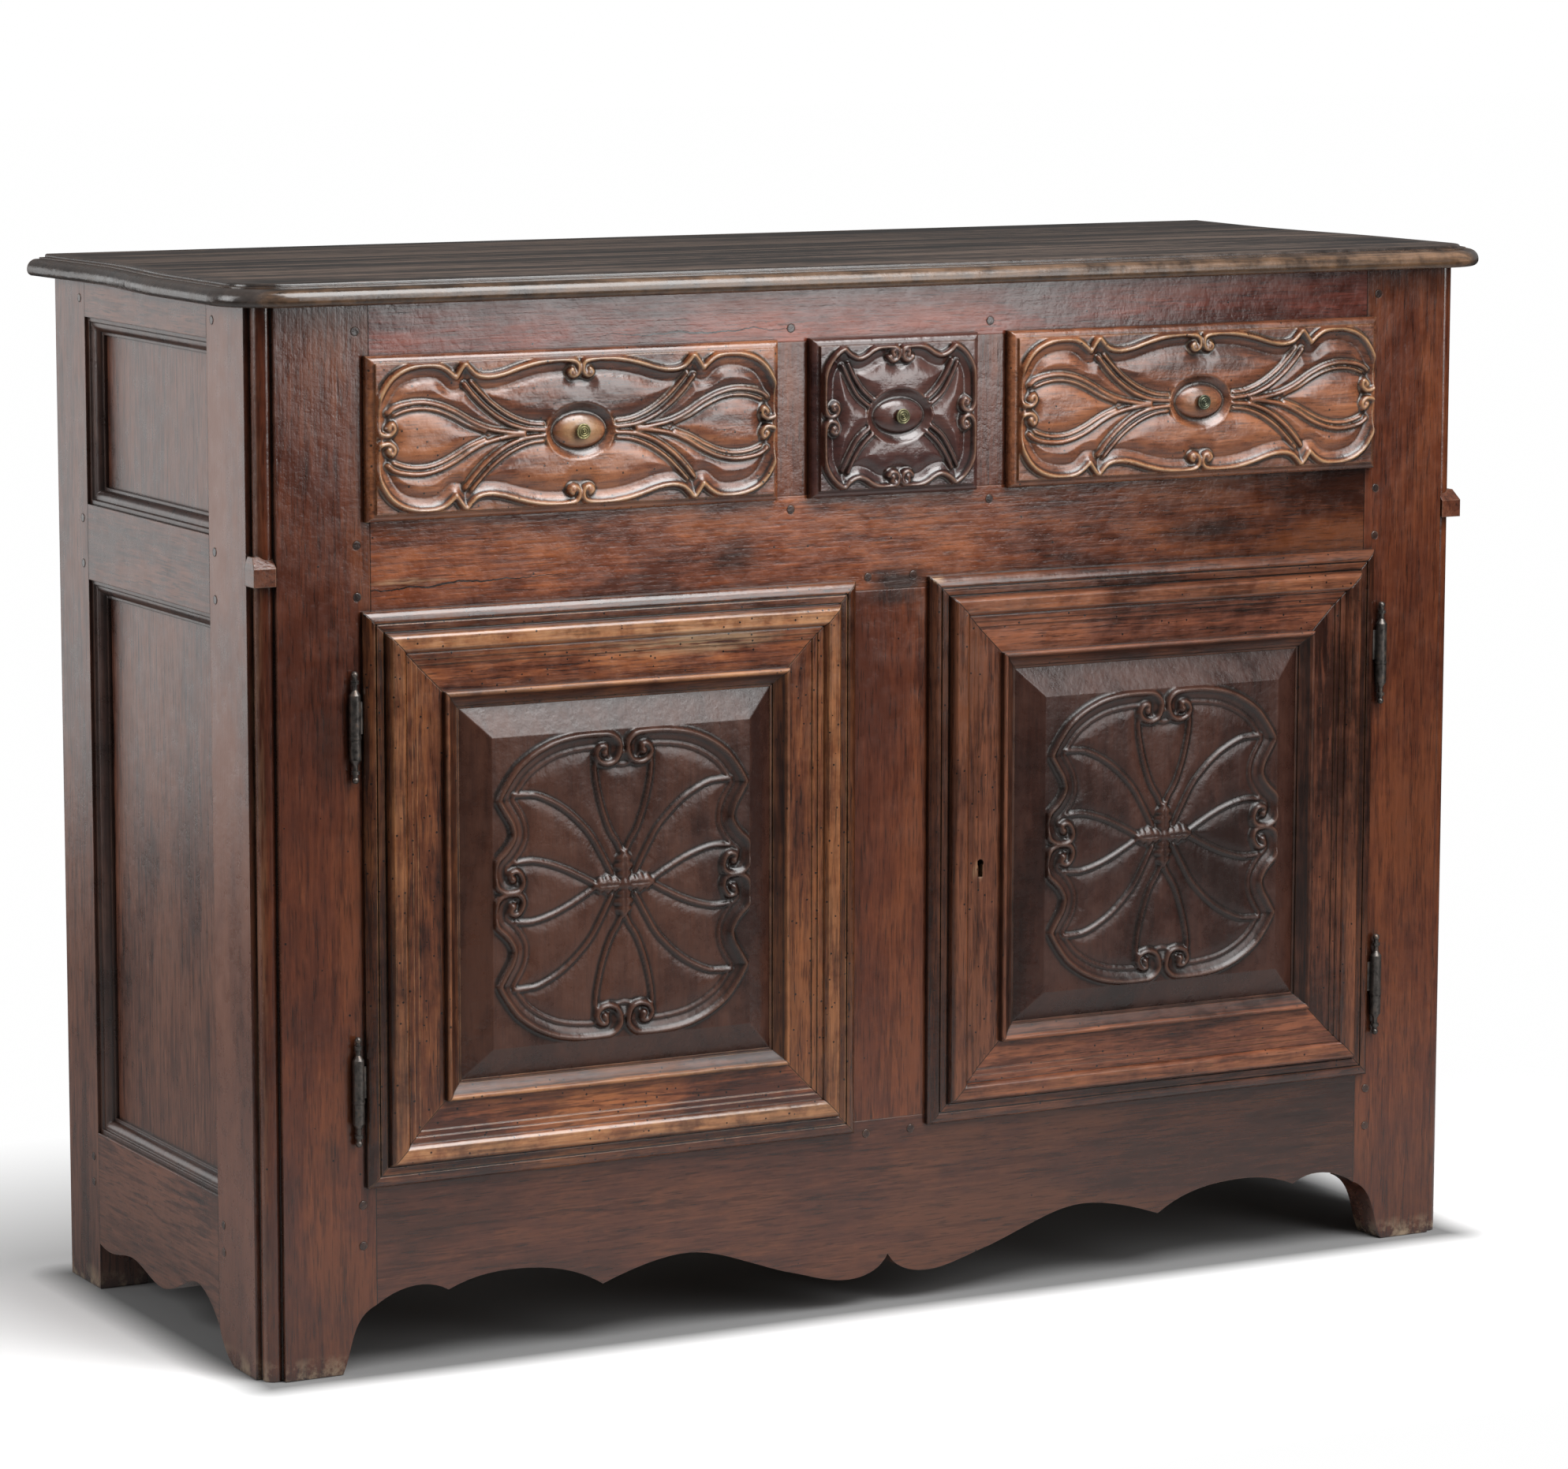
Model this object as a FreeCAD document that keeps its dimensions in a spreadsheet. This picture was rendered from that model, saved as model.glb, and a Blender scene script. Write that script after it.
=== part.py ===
import FreeCAD, Part
import math
import os
import re

# A frame-and-panel walnut credenza: three drawers over two doors on a joined carcass.
# X runs along the front, Y from front to back, Z up. The origin is on the floor under the middle.
doc = FreeCAD.newDocument("credenza")
sheet = doc.addObject("Spreadsheet::Sheet", "Sizes")

SIZES = {
    "carcass_width": 1324, "carcass_depth": 494, "carcass_height": 1000,
    # Top: a rounded nose, a small fillet and a slightly raised field, wavy at both ends.
    "top_front": 30, "top_end": 30, "top_back": 12, "top_corner": 64, "end_wave": 14,
    "nose_thick": 16.5, "nose_under": 6.2, "nose_round": 10, "fillet_thick": 1.5, "fillet_inset": 13,
    "field_thick": 3.2, "field_inset": 19, "field_round": 2.4, "top_joint": 250,
    # Corner posts, with a bead worked on each front corner, and their feet.
    "post_front_w": 114, "post_side_w": 108, "post_front_thick": 42, "post_side_thick": 50,
    "bead_zone": 21, "bead_inset": 15, "bead_radius": 10,
    "foot_front_w": 79, "foot_side_w": 74, "foot_front_rise": 63, "foot_side_rise": 31,
    "back_post_w": 78, "back_post_thick": 50,
    # Front frame.
    "rail_thick": 32, "top_rail_h": 50.5, "drawer_open_h": 147, "mid_rail_h": 95.5,
    "apron_top": 186, "apron_drop": 160, "centre_stile_w": 102, "divider_w": 47, "divider_x": 109.5,
    "tenon_thick": 12, "tenon_len": 34, "tenon_inset": 11, "tenon_shoulder": 9,
    # Side frames and their panels.
    "side_rail_thick": 34, "side_top_h": 35, "side_mid_up": 2, "side_mid_h": 74,
    "side_apron_top": 158, "side_apron_drop": 125, "panel_recess": 16, "side_panel_thick": 10,
    "panel_tongue": 7, "side_mould_w": 17, "side_mould_h": 13,
    # Back.
    "back_rail_thick": 30, "back_board_thick": 12, "back_inset": 8, "back_top_h": 70,
    "back_mid_h": 62, "back_low_z": 110, "back_low_h": 76, "back_board_low": 120,
    "back_board_count": 9,
    # Inside.
    "bottom_z": 160, "bottom_thick": 18, "bottom_tongue": 8, "bottom_joint": 240,
    "shelf_z": 430, "shelf_thick": 22, "shelf_front": 60, "shelf_joint": 260, "bearer_w": 22,
    "bearer_h": 26, "runner_w": 50, "runner_thick": 20, "guide_w": 24, "guide_h": 36,
    # Drawers.
    "drawer_lap": 6, "drawer_lap_v": 3, "drawer_gap": 1.5, "lip_gap": 0.5, "run_gap": 0.4,
    "drawer_lip_h": 11, "drawer_round": 6.5, "drawer_field_h": 14, "drawer_field_in": 7.5,
    "drawer_core": 10, "drawer_side": 12, "drawer_side_h": 124, "drawer_back_gap": 34,
    "drawer_lap_in": 6, "drawer_floor": 8, "drawer_floor_up": 8, "drawer_groove": 5,
    "drawer_back_drop": 12, "boss_w": 28, "boss_h": 18, "boss_proud": 4, "knob_set": 0.5,
    "knob_plate_r": 7.6, "knob_plate": 1.5, "knob_neck_r": 3.5, "knob_neck": 4, "knob_head_r": 7,
    "knob_head": 3.5, "knob_tip_r": 3, "knob_shank_r": 3, "knob_shank_out": 5,
    # Doors: moulded frame members, a loose moulding and a raised panel.
    "door_lap": 10, "door_gap": 2, "door_back": 14, "edge_w": 12, "edge_low": 5, "edge_h": 9.5,
    "fascia_w": 8, "torus_w": 20, "torus_h": 20, "fillet_w": 5.5, "fillet_one_h": 13.5,
    "fillet_two_h": 12.2, "flat_w": 33, "flat_h": 11, "bolection_lap": 6.5, "bolection_h": 18,
    "bolection_w": 17.5, "bolection_toe": 9, "door_panel_back": 4, "door_panel_face": 7,
    "door_panel_tongue": 8, "bevel_w": 28, "door_field_h": 20, "door_tenon_out": 30,
    "door_tenon_w": 38, "door_tenon_end": 22, "door_tenon_thick": 10, "door_tenon_back": 9,
    # Hinges: turned iron barrels on pins, each with one leaf let into the door or the post.
    "hinge_side": 3.3, "hinge_room": 0.3, "barrel_r": 5.5, "collar_step": 0.4, "collar_h": 2.5,
    "barrel_up": 41, "barrel_down": 19, "pin_r": 3, "pin_up": 31, "pin_fit": 0.05,
    "barrel_gap": 0.3, "flare_h": 5, "neck_r": 2.4, "neck_h": 5.5, "ring_r": 4, "ring_h": 3,
    "ball_r": 3.3, "leaf_thick": 1.8, "leaf_h": 30, "leaf_h_low": 13, "leaf_in": 36,
    "leaf_back": 28, "leaf_set": 2, "hinge_from_top": 107, "hinge_from_foot": 72,
    # Lock on the right door and turn button on the left door.
    "lock_inset": 19, "lock_w": 56, "lock_h": 70, "lock_thick": 20, "lock_below": 20.5,
    "bolt_thick": 8, "bolt_h": 12, "bolt_tail": 8, "bolt_set": 4, "bolt_fit": 0.3, "bolt_back": 3,
    "strike_deep": 16, "strike_room": 1, "keyhole_x": 55, "keyhole_r": 3.6, "keyhole_drop": 14,
    "keyhole_w": 5, "button_in": 30, "button_w": 22, "button_up": 60, "button_down": 18,
    "button_thick": 12, "button_room": 1, "spindle_r": 6, "spindle_in": 12,
    # Pegs through the joints and the blocks on the corner beads.
    "peg_r": 4, "peg_stop": 2, "peg_proud": 0.4, "peg_from_joint": 13,
    "block_w": 22, "block_proud": 2, "block_up": 38, "block_h": 27, "block_slope": 10, "block_ease": 3,
}
for row, (alias, number) in enumerate(SIZES.items(), start=1):
    sheet.set(f"A{row}", alias.replace("_", " "))
    sheet.set(f"B{row}", str(number))
    sheet.setAlias(f"B{row}", alias)
doc.recompute()


def size(alias):
    return float(getattr(sheet, alias))


# The plane of the carcass front, with the middle of the whole depth at Y = 0.
FRONT = "(top_front - carcass_depth - top_back) / 2"
FRONT_Y = (size("top_front") - size("carcass_depth") - size("top_back")) / 2
nodes = {}


def bound(text):
    return re.sub(r"[a-z][a-z_]*", lambda word: "Sizes." + word.group(0), text)


def place(item, x, y, z):
    for axis, text in (("x", x), ("y", f"{FRONT} + {y}"), ("z", z)):
        item.setExpression("Placement.Base." + axis, bound(text))


def box(name, x, y, z):
    """A board between two planes each way; Y counts back from the carcass front."""
    item = doc.addObject("Part::Box", name)
    for prop, (low, high) in (("Length", x), ("Width", y), ("Height", z)):
        item.setExpression(prop, bound(f"{high} - ({low})"))
    place(item, x[0], y[0], z[0])
    return item


TURN = {"x": FreeCAD.Rotation(FreeCAD.Vector(0, 1, 0), 90),
        "y": FreeCAD.Rotation(FreeCAD.Vector(1, 0, 0), -90),
        "z": FreeCAD.Rotation()}


def rod(name, radius, along, length, x, y, z, far_radius=None):
    """A round piece that starts at x, y, z and runs along one axis, tapered if far_radius is set."""
    item = doc.addObject("Part::Cone" if far_radius else "Part::Cylinder", name)
    item.Placement = FreeCAD.Placement(FreeCAD.Vector(), TURN[along])
    if far_radius:
        item.setExpression("Radius1", bound(radius))
        item.setExpression("Radius2", bound(far_radius))
    else:
        item.setExpression("Radius", bound(radius))
    item.setExpression("Height", bound(length))
    place(item, x, y, z)
    return item


def ball(name, radius, x, y, z):
    item = doc.addObject("Part::Sphere", name)
    item.setExpression("Radius", bound(radius))
    place(item, x, y, z)
    return item


def fuse(name, items):
    item = doc.addObject("Part::MultiFuse", name)
    item.Shapes = items
    item.Refine = True
    return item


def group(name, items):
    item = doc.addObject("Part::Compound", name)
    item.Links = items
    return item


def cut(name, base, tools):
    item = doc.addObject("Part::Cut", name)
    item.Base = base
    item.Tool = tools[0] if len(tools) == 1 else group(name + "_cuts", tools)
    item.Refine = True
    return item


def common(name, base, tool):
    item = doc.addObject("Part::Common", name)
    item.Base = base
    item.Tool = tool
    return item


def mirror(name, source):
    item = doc.addObject("Part::Mirroring", name)
    item.Source = source
    item.Normal = FreeCAD.Vector(1, 0, 0)
    return item


def feature(name, shape):
    item = doc.addObject("Part::Feature", name)
    item.Shape = shape
    return item


def node(name, item):
    item.Label = name
    nodes[name] = item
    return item


def both_sides(name, item):
    """A left-hand piece and its mirror image on the right."""
    node("left_" + name, item)
    return node("right_" + name, mirror("right_" + name, item))


def path_edges(path, to_space):
    """Edges through a list of corners; a pair (middle, end) in the list is an arc."""
    edges = []
    last = to_space(*path[0])
    for step in path[1:]:
        if isinstance(step[0], tuple):
            middle, end = (to_space(*point) for point in step)
            edges.append(Part.Arc(last, middle, end).toShape())
        else:
            end = to_space(*step)
            edges.append(Part.LineSegment(last, end).toShape())
        last = end
    return edges


def closed_face(path, to_space):
    return Part.Face(Part.Wire(path_edges(path + [path[0]], to_space)))


def curve_cut(name, runs, floor, to_space, through):
    """What is sawn away under a scalloped edge: runs of points, smooth within each run."""
    edges = []
    for run in runs:
        curve = Part.BSplineCurve()
        curve.interpolate([to_space(*point) for point in run])
        edges.append(curve.toShape())
    first, final = runs[0][0], runs[-1][-1]
    below = [final, (final[0], floor), (first[0], floor), first]
    edges += path_edges(below, to_space)
    return feature(name, Part.Face(Part.Wire(edges)).extrude(through))


# The front frame: rails tenoned into the corner posts.
HALF = "carcass_width / 2"
STILE = f"({HALF} - post_front_w)"
TOP_RAIL_LOW = "(carcass_height - top_rail_h)"
MID_TOP = f"({TOP_RAIL_LOW} - drawer_open_h)"
MID_LOW = f"({MID_TOP} - mid_rail_h)"
DOOR_MID = f"((apron_top + {MID_LOW}) / 2)"
mid_low = size("carcass_height") - size("top_rail_h") - size("drawer_open_h") - size("mid_rail_h")
TENON_Y = ("tenon_inset", "tenon_inset + tenon_thick")
post_cuts = []
rails = {}
for name, low, high, tenon_low in (
        ("front_top_rail", TOP_RAIL_LOW, "carcass_height", TOP_RAIL_LOW),
        ("front_middle_rail", MID_LOW, MID_TOP, MID_LOW),
        ("front_apron_rail", "apron_top - apron_drop", "apron_top", "foot_front_rise + tenon_shoulder")):
    rails[name] = box(name + "_board", ("-" + STILE, STILE), ("0", "rail_thick"), (low, high))
    tenon_z = (f"{tenon_low} + tenon_shoulder", f"{high} - tenon_shoulder")
    left_tenon = box(name + "_tenon", (f"-{STILE} - tenon_len", f"-{STILE}"), TENON_Y, tenon_z)
    right_tenon = mirror(name + "_tenon_right", left_tenon)
    post_cuts.append(left_tenon)
    rails[name + "_tenons"] = [left_tenon, right_tenon]

# The scalloped lower edge of the apron, half a width from the middle outwards.
span = size("carcass_width") / 2 - size("post_front_w")
rise = size("foot_front_rise")
# The scallops are drawn for this half span and stretch with it.
DRAWN_SPAN = 548
unit = span / DRAWN_SPAN
HALF_SCALLOPS = [
    [(0, 50), (12, 37), (24, 31.5), (52, 29), (84, 36), (115, 45)],
    [(115, 45), (168, 64), (215, 75.5), (262, 71), (312, 56)],
    [(312, 56), (345, 72), (398, 81), (440, 79), (474, 69)],
    [(474, 69), (498, 77), (525, 74), (DRAWN_SPAN, rise)],
]
left_runs = [[(-x * unit, z) for x, z in reversed(run)] for run in reversed(HALF_SCALLOPS)]
right_runs = [[(x * unit, z) for x, z in run] for run in HALF_SCALLOPS]
# How far cutting shapes run past the faces they cut.
PAST = 5


def on_front(x, z):
    return FreeCAD.Vector(x, FRONT_Y - PAST, z)


deep = FreeCAD.Vector(0, size("rail_thick") + size("post_front_thick") + PAST, 0)
apron_saw = curve_cut("apron_scallops", left_runs + right_runs, 0, on_front, deep)
rails["front_apron_rail"] = cut("apron_sawn", rails["front_apron_rail"], [apron_saw])

# The centre stile and the two drawer dividers stand between the rails on stub tenons.
STUB = "tenon_len / 2"
CENTRE = "centre_stile_w / 2"
stile_board = box("stile_board", (f"-{CENTRE}", CENTRE), ("0", "rail_thick"), ("apron_top", MID_LOW))
stile_stub = box("stile_stub", (f"-{CENTRE} + tenon_shoulder", f"{CENTRE} - tenon_shoulder"), TENON_Y,
                 (f"apron_top - {STUB}", f"{MID_LOW} + {STUB}"))
DIVIDER_IN = "(divider_x - divider_w / 2)"
DIVIDER_OUT = "(divider_x + divider_w / 2)"
divider_board = box("divider_board", (f"-{DIVIDER_OUT}", f"-{DIVIDER_IN}"), ("0", "rail_thick"),
                    (MID_TOP, TOP_RAIL_LOW))
divider_stub = box("divider_stub", (f"-{DIVIDER_OUT} + tenon_shoulder", f"-{DIVIDER_IN} - tenon_shoulder"),
                   TENON_Y, (f"{MID_TOP} - {STUB}", f"{TOP_RAIL_LOW} + {STUB}"))
right_stub = mirror("divider_stub_right", divider_stub)

# Side frames: three rails between the front and back posts, with panels in grooves.
OUTER = f"-{HALF}"
SIDE_X = (OUTER, f"{OUTER} + side_rail_thick")
SIDE_Y = ("post_side_w", "carcass_depth - back_post_w")
SIDE_MID_LOW = f"({MID_LOW} + side_mid_up)"
SIDE_MID_TOP = f"({SIDE_MID_LOW} + side_mid_h)"
SIDE_TOP_LOW = "(carcass_height - side_top_h)"
SIDE_TENON_X = (f"{OUTER} + tenon_inset", f"{OUTER} + tenon_inset + tenon_thick")
side_rails = {}
side_tenons = []
back_tenons = []
for name, low, high, tenon_low in (
        ("side_top_rail", SIDE_TOP_LOW, "carcass_height", SIDE_TOP_LOW),
        ("side_middle_rail", SIDE_MID_LOW, SIDE_MID_TOP, SIDE_MID_LOW),
        ("side_apron_rail", "side_apron_top - side_apron_drop", "side_apron_top",
         "foot_front_rise + tenon_shoulder")):
    side_rails[name] = box(name + "_board", SIDE_X, SIDE_Y, (low, high))
    tenon_z = (f"{tenon_low} + tenon_shoulder", f"{high} - tenon_shoulder")
    side_tenons.append(box(name + "_fore", SIDE_TENON_X, (f"{SIDE_Y[0]} - tenon_len", SIDE_Y[0]), tenon_z))
    back_tenons.append(box(name + "_aft", SIDE_TENON_X, (SIDE_Y[1], f"{SIDE_Y[1]} + tenon_len"), tenon_z))
    side_rails[name + "_tenons"] = [side_tenons[-1], back_tenons[-1]]

side_from = size("post_side_w")
side_to = size("carcass_depth") - size("back_post_w")
DRAWN_DEPTH = 308
side_unit = (side_to - side_from) / DRAWN_DEPTH
side_rise = size("foot_side_rise")
SIDE_SCALLOPS = [(0, side_rise), (17, 47), (54, 62), (96, 50), (147, 37), (222, 50), (272, 43),
                 (DRAWN_DEPTH, 46)]
side_runs = [[(side_from + y * side_unit, z) for y, z in SIDE_SCALLOPS]]
outer_x = -size("carcass_width") / 2


def on_side(y, z):
    return FreeCAD.Vector(outer_x - PAST, FRONT_Y + y, z)


across = FreeCAD.Vector(size("post_side_thick") + 2 * PAST, 0, 0)
side_saw = curve_cut("side_scallops", side_runs, 0, on_side, across)
side_rails["side_apron_rail"] = cut("side_apron_sawn", side_rails["side_apron_rail"], [side_saw])

PANEL_X = (f"{OUTER} + panel_recess", f"{OUTER} + panel_recess + side_panel_thick")
PANEL_Y = (f"{SIDE_Y[0]} - panel_tongue", f"{SIDE_Y[1]} + panel_tongue")
side_panels = [
    box("side_upper_panel", PANEL_X, PANEL_Y,
        (f"{SIDE_MID_TOP} - panel_tongue", f"{SIDE_TOP_LOW} + panel_tongue")),
    box("side_lower_panel", PANEL_X, PANEL_Y,
        ("side_apron_top - panel_tongue", f"{SIDE_MID_LOW} + panel_tongue")),
]


def mitred(name, profile, low, high, to_space):
    """Four mitred lengths round a rectangle; profile gives (distance inwards, height)."""
    reach = max(point[0] for point in profile if not isinstance(point[0], tuple))
    heights = [point[1] for point in profile if not isinstance(point[0], tuple)]
    bottom, top = min(heights) - PAST, max(heights) + PAST
    wide, tall = high[0] - low[0], high[1] - low[1]
    lengths = {}
    for side, length in (("left", tall), ("right", tall), ("low", wide), ("high", wide)):
        spots = {"left": lambda u, w: (low[0] + u, low[1] + w),
                 "right": lambda u, w: (high[0] - u, low[1] + w),
                 "low": lambda u, w: (low[0] + w, low[1] + u),
                 "high": lambda u, w: (low[0] + w, high[1] - u)}
        spot = spots[side]
        start, end = to_space(*spot(0, 0), 0), to_space(*spot(0, length), 0)
        run = closed_face(profile, lambda u, h: to_space(*spot(u, 0), h)).extrude(end - start)
        plan = [(0, 0), (reach, reach), (reach, length - reach), (0, length)]
        up = to_space(*spot(0, 0), top) - to_space(*spot(0, 0), bottom)
        mitre = closed_face(plan, lambda u, w: to_space(*spot(u, w), bottom)).extrude(up)
        lengths[side] = feature(f"{name}_{side}", run.common(mitre))
    return lengths


# Moulding strips planted in the corners round each side panel.
strip_w, strip_h = size("side_mould_w"), size("side_mould_h")
STRIP = [(0, 0), (0, strip_h), (0.25 * strip_w, strip_h), (0.3 * strip_w, 0.82 * strip_h),
         ((0.68 * strip_w, 0.66 * strip_h), (0.82 * strip_w, 0.25 * strip_h)),
         (strip_w, 0.25 * strip_h), (strip_w, 0)]
panel_face_x = outer_x + size("panel_recess")
side_strips = []
side_mid_low = mid_low + size("side_mid_up")
side_mid_top = side_mid_low + size("side_mid_h")
for name, low_z, high_z in (
        ("upper_strip", side_mid_top, size("carcass_height") - size("side_top_h")),
        ("lower_strip", size("side_apron_top"), side_mid_low)):
    ring = mitred(name, STRIP, (side_from, low_z), (side_to, high_z),
                  lambda y, z, h: FreeCAD.Vector(panel_face_x - h, FRONT_Y + y, z))
    side_strips += list(ring.values())

# Pegs through the joints, seen as small dark rounds on the face.
PEG_LEN = "rail_thick - bottom_tongue - peg_stop + peg_proud"
POST_PEG = f"{STILE} + peg_from_joint"
STILE_PEG = f"{CENTRE} - 2 * peg_from_joint"
FACE_PEGS = [(POST_PEG, z) for z in (
    f"{TOP_RAIL_LOW} + top_rail_h / 2", f"{MID_LOW} + mid_rail_h / 4", f"{MID_TOP} - mid_rail_h / 4",
    "apron_top - 2 * peg_from_joint", "apron_top - 5 * peg_from_joint")]
FACE_PEGS += [("divider_x", f"{TOP_RAIL_LOW} + peg_from_joint"), ("divider_x", f"{MID_TOP} - peg_from_joint"),
              (STILE_PEG, f"{MID_LOW} + peg_from_joint"), (STILE_PEG, "apron_top - peg_from_joint")]
face_pegs = [rod(f"face_peg_{count}", "peg_r", "y", PEG_LEN, f"-({x})", "-peg_proud", z)
             for count, (x, z) in enumerate(FACE_PEGS)]
side_pegs = []
for peg_y in (f"{SIDE_Y[0]} - peg_from_joint", f"{SIDE_Y[1]} + peg_from_joint"):
    for z in (f"{SIDE_TOP_LOW} + side_top_h / 2", f"{SIDE_MID_LOW} + side_mid_h / 5",
              f"{SIDE_MID_TOP} - side_mid_h / 5", "side_apron_top - 2 * peg_from_joint",
              "side_apron_top - 4 * peg_from_joint"):
        side_pegs.append(rod(f"side_peg_{len(side_pegs)}", "peg_r", "x", PEG_LEN, f"{OUTER} - peg_proud",
                             peg_y, z))
left_pegs = group("left_pegs", face_pegs + side_pegs)
right_pegs = mirror("right_pegs", left_pegs)
all_pegs = [left_pegs, right_pegs]
node("frame_pegs", group("frame_pegs", all_pegs))

# Hinges stand in front of the frame, just outside each door's edge.
DOOR_OUT = f"({STILE} + door_lap)"
COLLAR_R = "(barrel_r + collar_step)"
AXIS_X = f"-({DOOR_OUT} + {COLLAR_R} + hinge_side)"
AXIS_Y = f"-({COLLAR_R} + hinge_room)"


def finial(name, z, way):
    """A flared cap, neck, ring and ball beyond the end of a barrel, upwards or downwards."""
    pieces = []
    level = z
    for part, radius, length, far in (
            ("flare", "barrel_r", "flare_h", "neck_r"), ("neck", "neck_r", "neck_h", None),
            ("ring", "ring_r", "ring_h", None), ("stem", "neck_r", "neck_h", None)):
        if way > 0:
            pieces.append(rod(f"{name}_{part}", radius, "z", length, AXIS_X, AXIS_Y, level, far))
            level = f"{level} + {length}"
        else:
            level = f"{level} - {length}"
            start, end = (far, radius) if far else (radius, None)
            pieces.append(rod(f"{name}_{part}", start, "z", length, AXIS_X, AXIS_Y, level, end))
    pieces.append(ball(f"{name}_ball", "ball_r", AXIS_X, AXIS_Y, level))
    return pieces


door_knuckles, frame_knuckles, door_leaves, frame_leaves = [], [], [], []
for name, joint in (("high", f"{MID_LOW} - hinge_from_top"), ("low", "apron_top + hinge_from_foot")):
    above_gap = f"{joint} + barrel_gap"
    below = f"{joint} - barrel_down"
    leaf_y = ("-leaf_set - leaf_thick", "-leaf_set")
    leaf = box(f"{name}_door_leaf", (AXIS_X, f"{AXIS_X} + {COLLAR_R} + hinge_side + leaf_in"), leaf_y,
               (f"{joint} + collar_h + leaf_thick", f"{joint} + collar_h + leaf_thick + leaf_h"))
    upper = [rod(f"{name}_collar", COLLAR_R, "z", "collar_h", AXIS_X, AXIS_Y, above_gap),
             rod(f"{name}_barrel", "barrel_r", "z", "barrel_up - barrel_gap", AXIS_X, AXIS_Y, above_gap),
             leaf] + finial(f"{name}_top", f"{joint} + barrel_up", 1)
    bore = rod(f"{name}_bore", "pin_r + pin_fit", "z", "pin_up + barrel_gap", AXIS_X, AXIS_Y, joint)
    door_knuckles.append(cut(f"{name}_door_knuckle", fuse(f"{name}_upper", upper), [bore]))
    door_leaves.append(leaf)
    tang = box(f"{name}_frame_leaf", (f"{AXIS_X} - leaf_thick / 2", f"{AXIS_X} + leaf_thick / 2"),
               (f"{AXIS_Y} + pin_r", "leaf_back"),
               (f"{joint} - leaf_h_low - collar_h", f"{joint} - collar_h"))
    lower = [rod(f"{name}_socket", "barrel_r", "z", "barrel_down", AXIS_X, AXIS_Y, below),
             rod(f"{name}_pin", "pin_r", "z", "barrel_down + pin_up", AXIS_X, AXIS_Y, below),
             tang] + finial(f"{name}_foot", below, -1)
    frame_knuckles.append(fuse(f"{name}_frame_knuckle", lower))
    frame_leaves.append(tang)
both_sides("door_hinge_knuckles", group("left_door_hinge_knuckles", door_knuckles))
left_lower = group("left_frame_knuckles", frame_knuckles)
right_lower = mirror("right_frame_knuckles", left_lower)
node("frame_hinge_pins", group("frame_hinge_pins", [left_lower, right_lower]))

# Front posts: an L-shaped section with a bead between two quirks, and a shaped foot.
POST_Z = ("0", "carcass_height")
post_leaves = fuse("post_leaves", [
    box("post_front_leaf", (OUTER, f"{OUTER} + post_front_w"), ("0", "post_front_thick"), POST_Z),
    box("post_side_leaf", (OUTER, f"{OUTER} + post_side_thick"), ("0", "post_side_w"), POST_Z)])
corner = box("bead_corner", (f"{OUTER} - bead_zone", f"{OUTER} + bead_zone"), ("-bead_zone", "bead_zone"),
             ("-bead_zone", "carcass_height + bead_zone"))
bead = rod("bead", "bead_radius", "z", "carcass_height", f"{OUTER} + bead_inset", "bead_inset", "0")
web = box("bead_web", (f"{OUTER} + bead_inset", f"{OUTER} + bead_zone"), ("bead_inset", "bead_zone"), POST_Z)
post_round = fuse("post_round", [cut("post_quirks", post_leaves, [corner]), bead, web])
foot_x = outer_x + size("foot_front_w")
foot_top_x = outer_x + size("post_front_w")
foot_slope = foot_top_x - foot_x
FRONT_FOOT = [(0, 0), (0.22, 0.36), (0.46, 0.74), (1, 1)]
front_curve = [(foot_x + across_by * foot_slope, up_by * rise) for across_by, up_by in FRONT_FOOT]
front_foot = curve_cut("front_foot", [front_curve, [(foot_top_x, rise), (foot_top_x + PAST, rise)]], -PAST,
                       on_front, deep)
SIDE_FOOT = [(0, 0), (0.6, 0.4), (1, 1)]
foot_side = size("foot_side_w")
side_curve = [(foot_side + across_by * (side_from - foot_side), up_by * side_rise)
              for across_by, up_by in SIDE_FOOT]
side_foot = curve_cut("side_foot", [side_curve, [(side_from, side_rise), (side_from + PAST, side_rise)]],
                      -PAST, on_side, across)
front_post = cut("front_left_post", post_round,
                 [front_foot, side_foot, left_pegs] + post_cuts + side_tenons + side_panels + frame_leaves)
node("front_left_post", front_post)
node("front_right_post", mirror("front_right_post", front_post))

back_post_board = box("back_post_board", (OUTER, f"{OUTER} + back_post_thick"),
                      ("carcass_depth - back_post_w", "carcass_depth"), POST_Z)
back_post = cut("back_left_post", back_post_board, back_tenons + side_panels + [left_pegs])
node("back_left_post", back_post)
node("back_right_post", mirror("back_right_post", back_post))

for name in ("side_top_rail", "side_middle_rail", "side_apron_rail"):
    rail = fuse(name + "_whole", [side_rails[name]] + side_rails[name + "_tenons"])
    both_sides(name, cut("left_" + name, rail, side_panels + [left_pegs]))
both_sides("side_panels", group("left_side_panels", side_panels))
both_sides("side_panel_mouldings", group("left_side_panel_mouldings", side_strips))

# Floor boards run in grooves in the apron and the low back rail.
BACK_FACE = "(carcass_depth - back_inset - back_board_thick)"
BACK_FRONT = f"({BACK_FACE} - back_rail_thick)"
INNER = f"({HALF} - back_post_thick)"
BOTTOM_Z = ("bottom_z", "bottom_z + bottom_thick")
floor_front = box("floor_front_board", ("-" + STILE, STILE), ("rail_thick - bottom_tongue", "bottom_joint"),
                  BOTTOM_Z)
floor_boards = [
    cut("floor_front", floor_front, [stile_stub]),
    box("floor_back", ("-" + INNER, INNER), ("bottom_joint", f"{BACK_FRONT} + bottom_tongue"), BOTTOM_Z)]
node("floor_boards", group("floor_boards", floor_boards))

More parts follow.
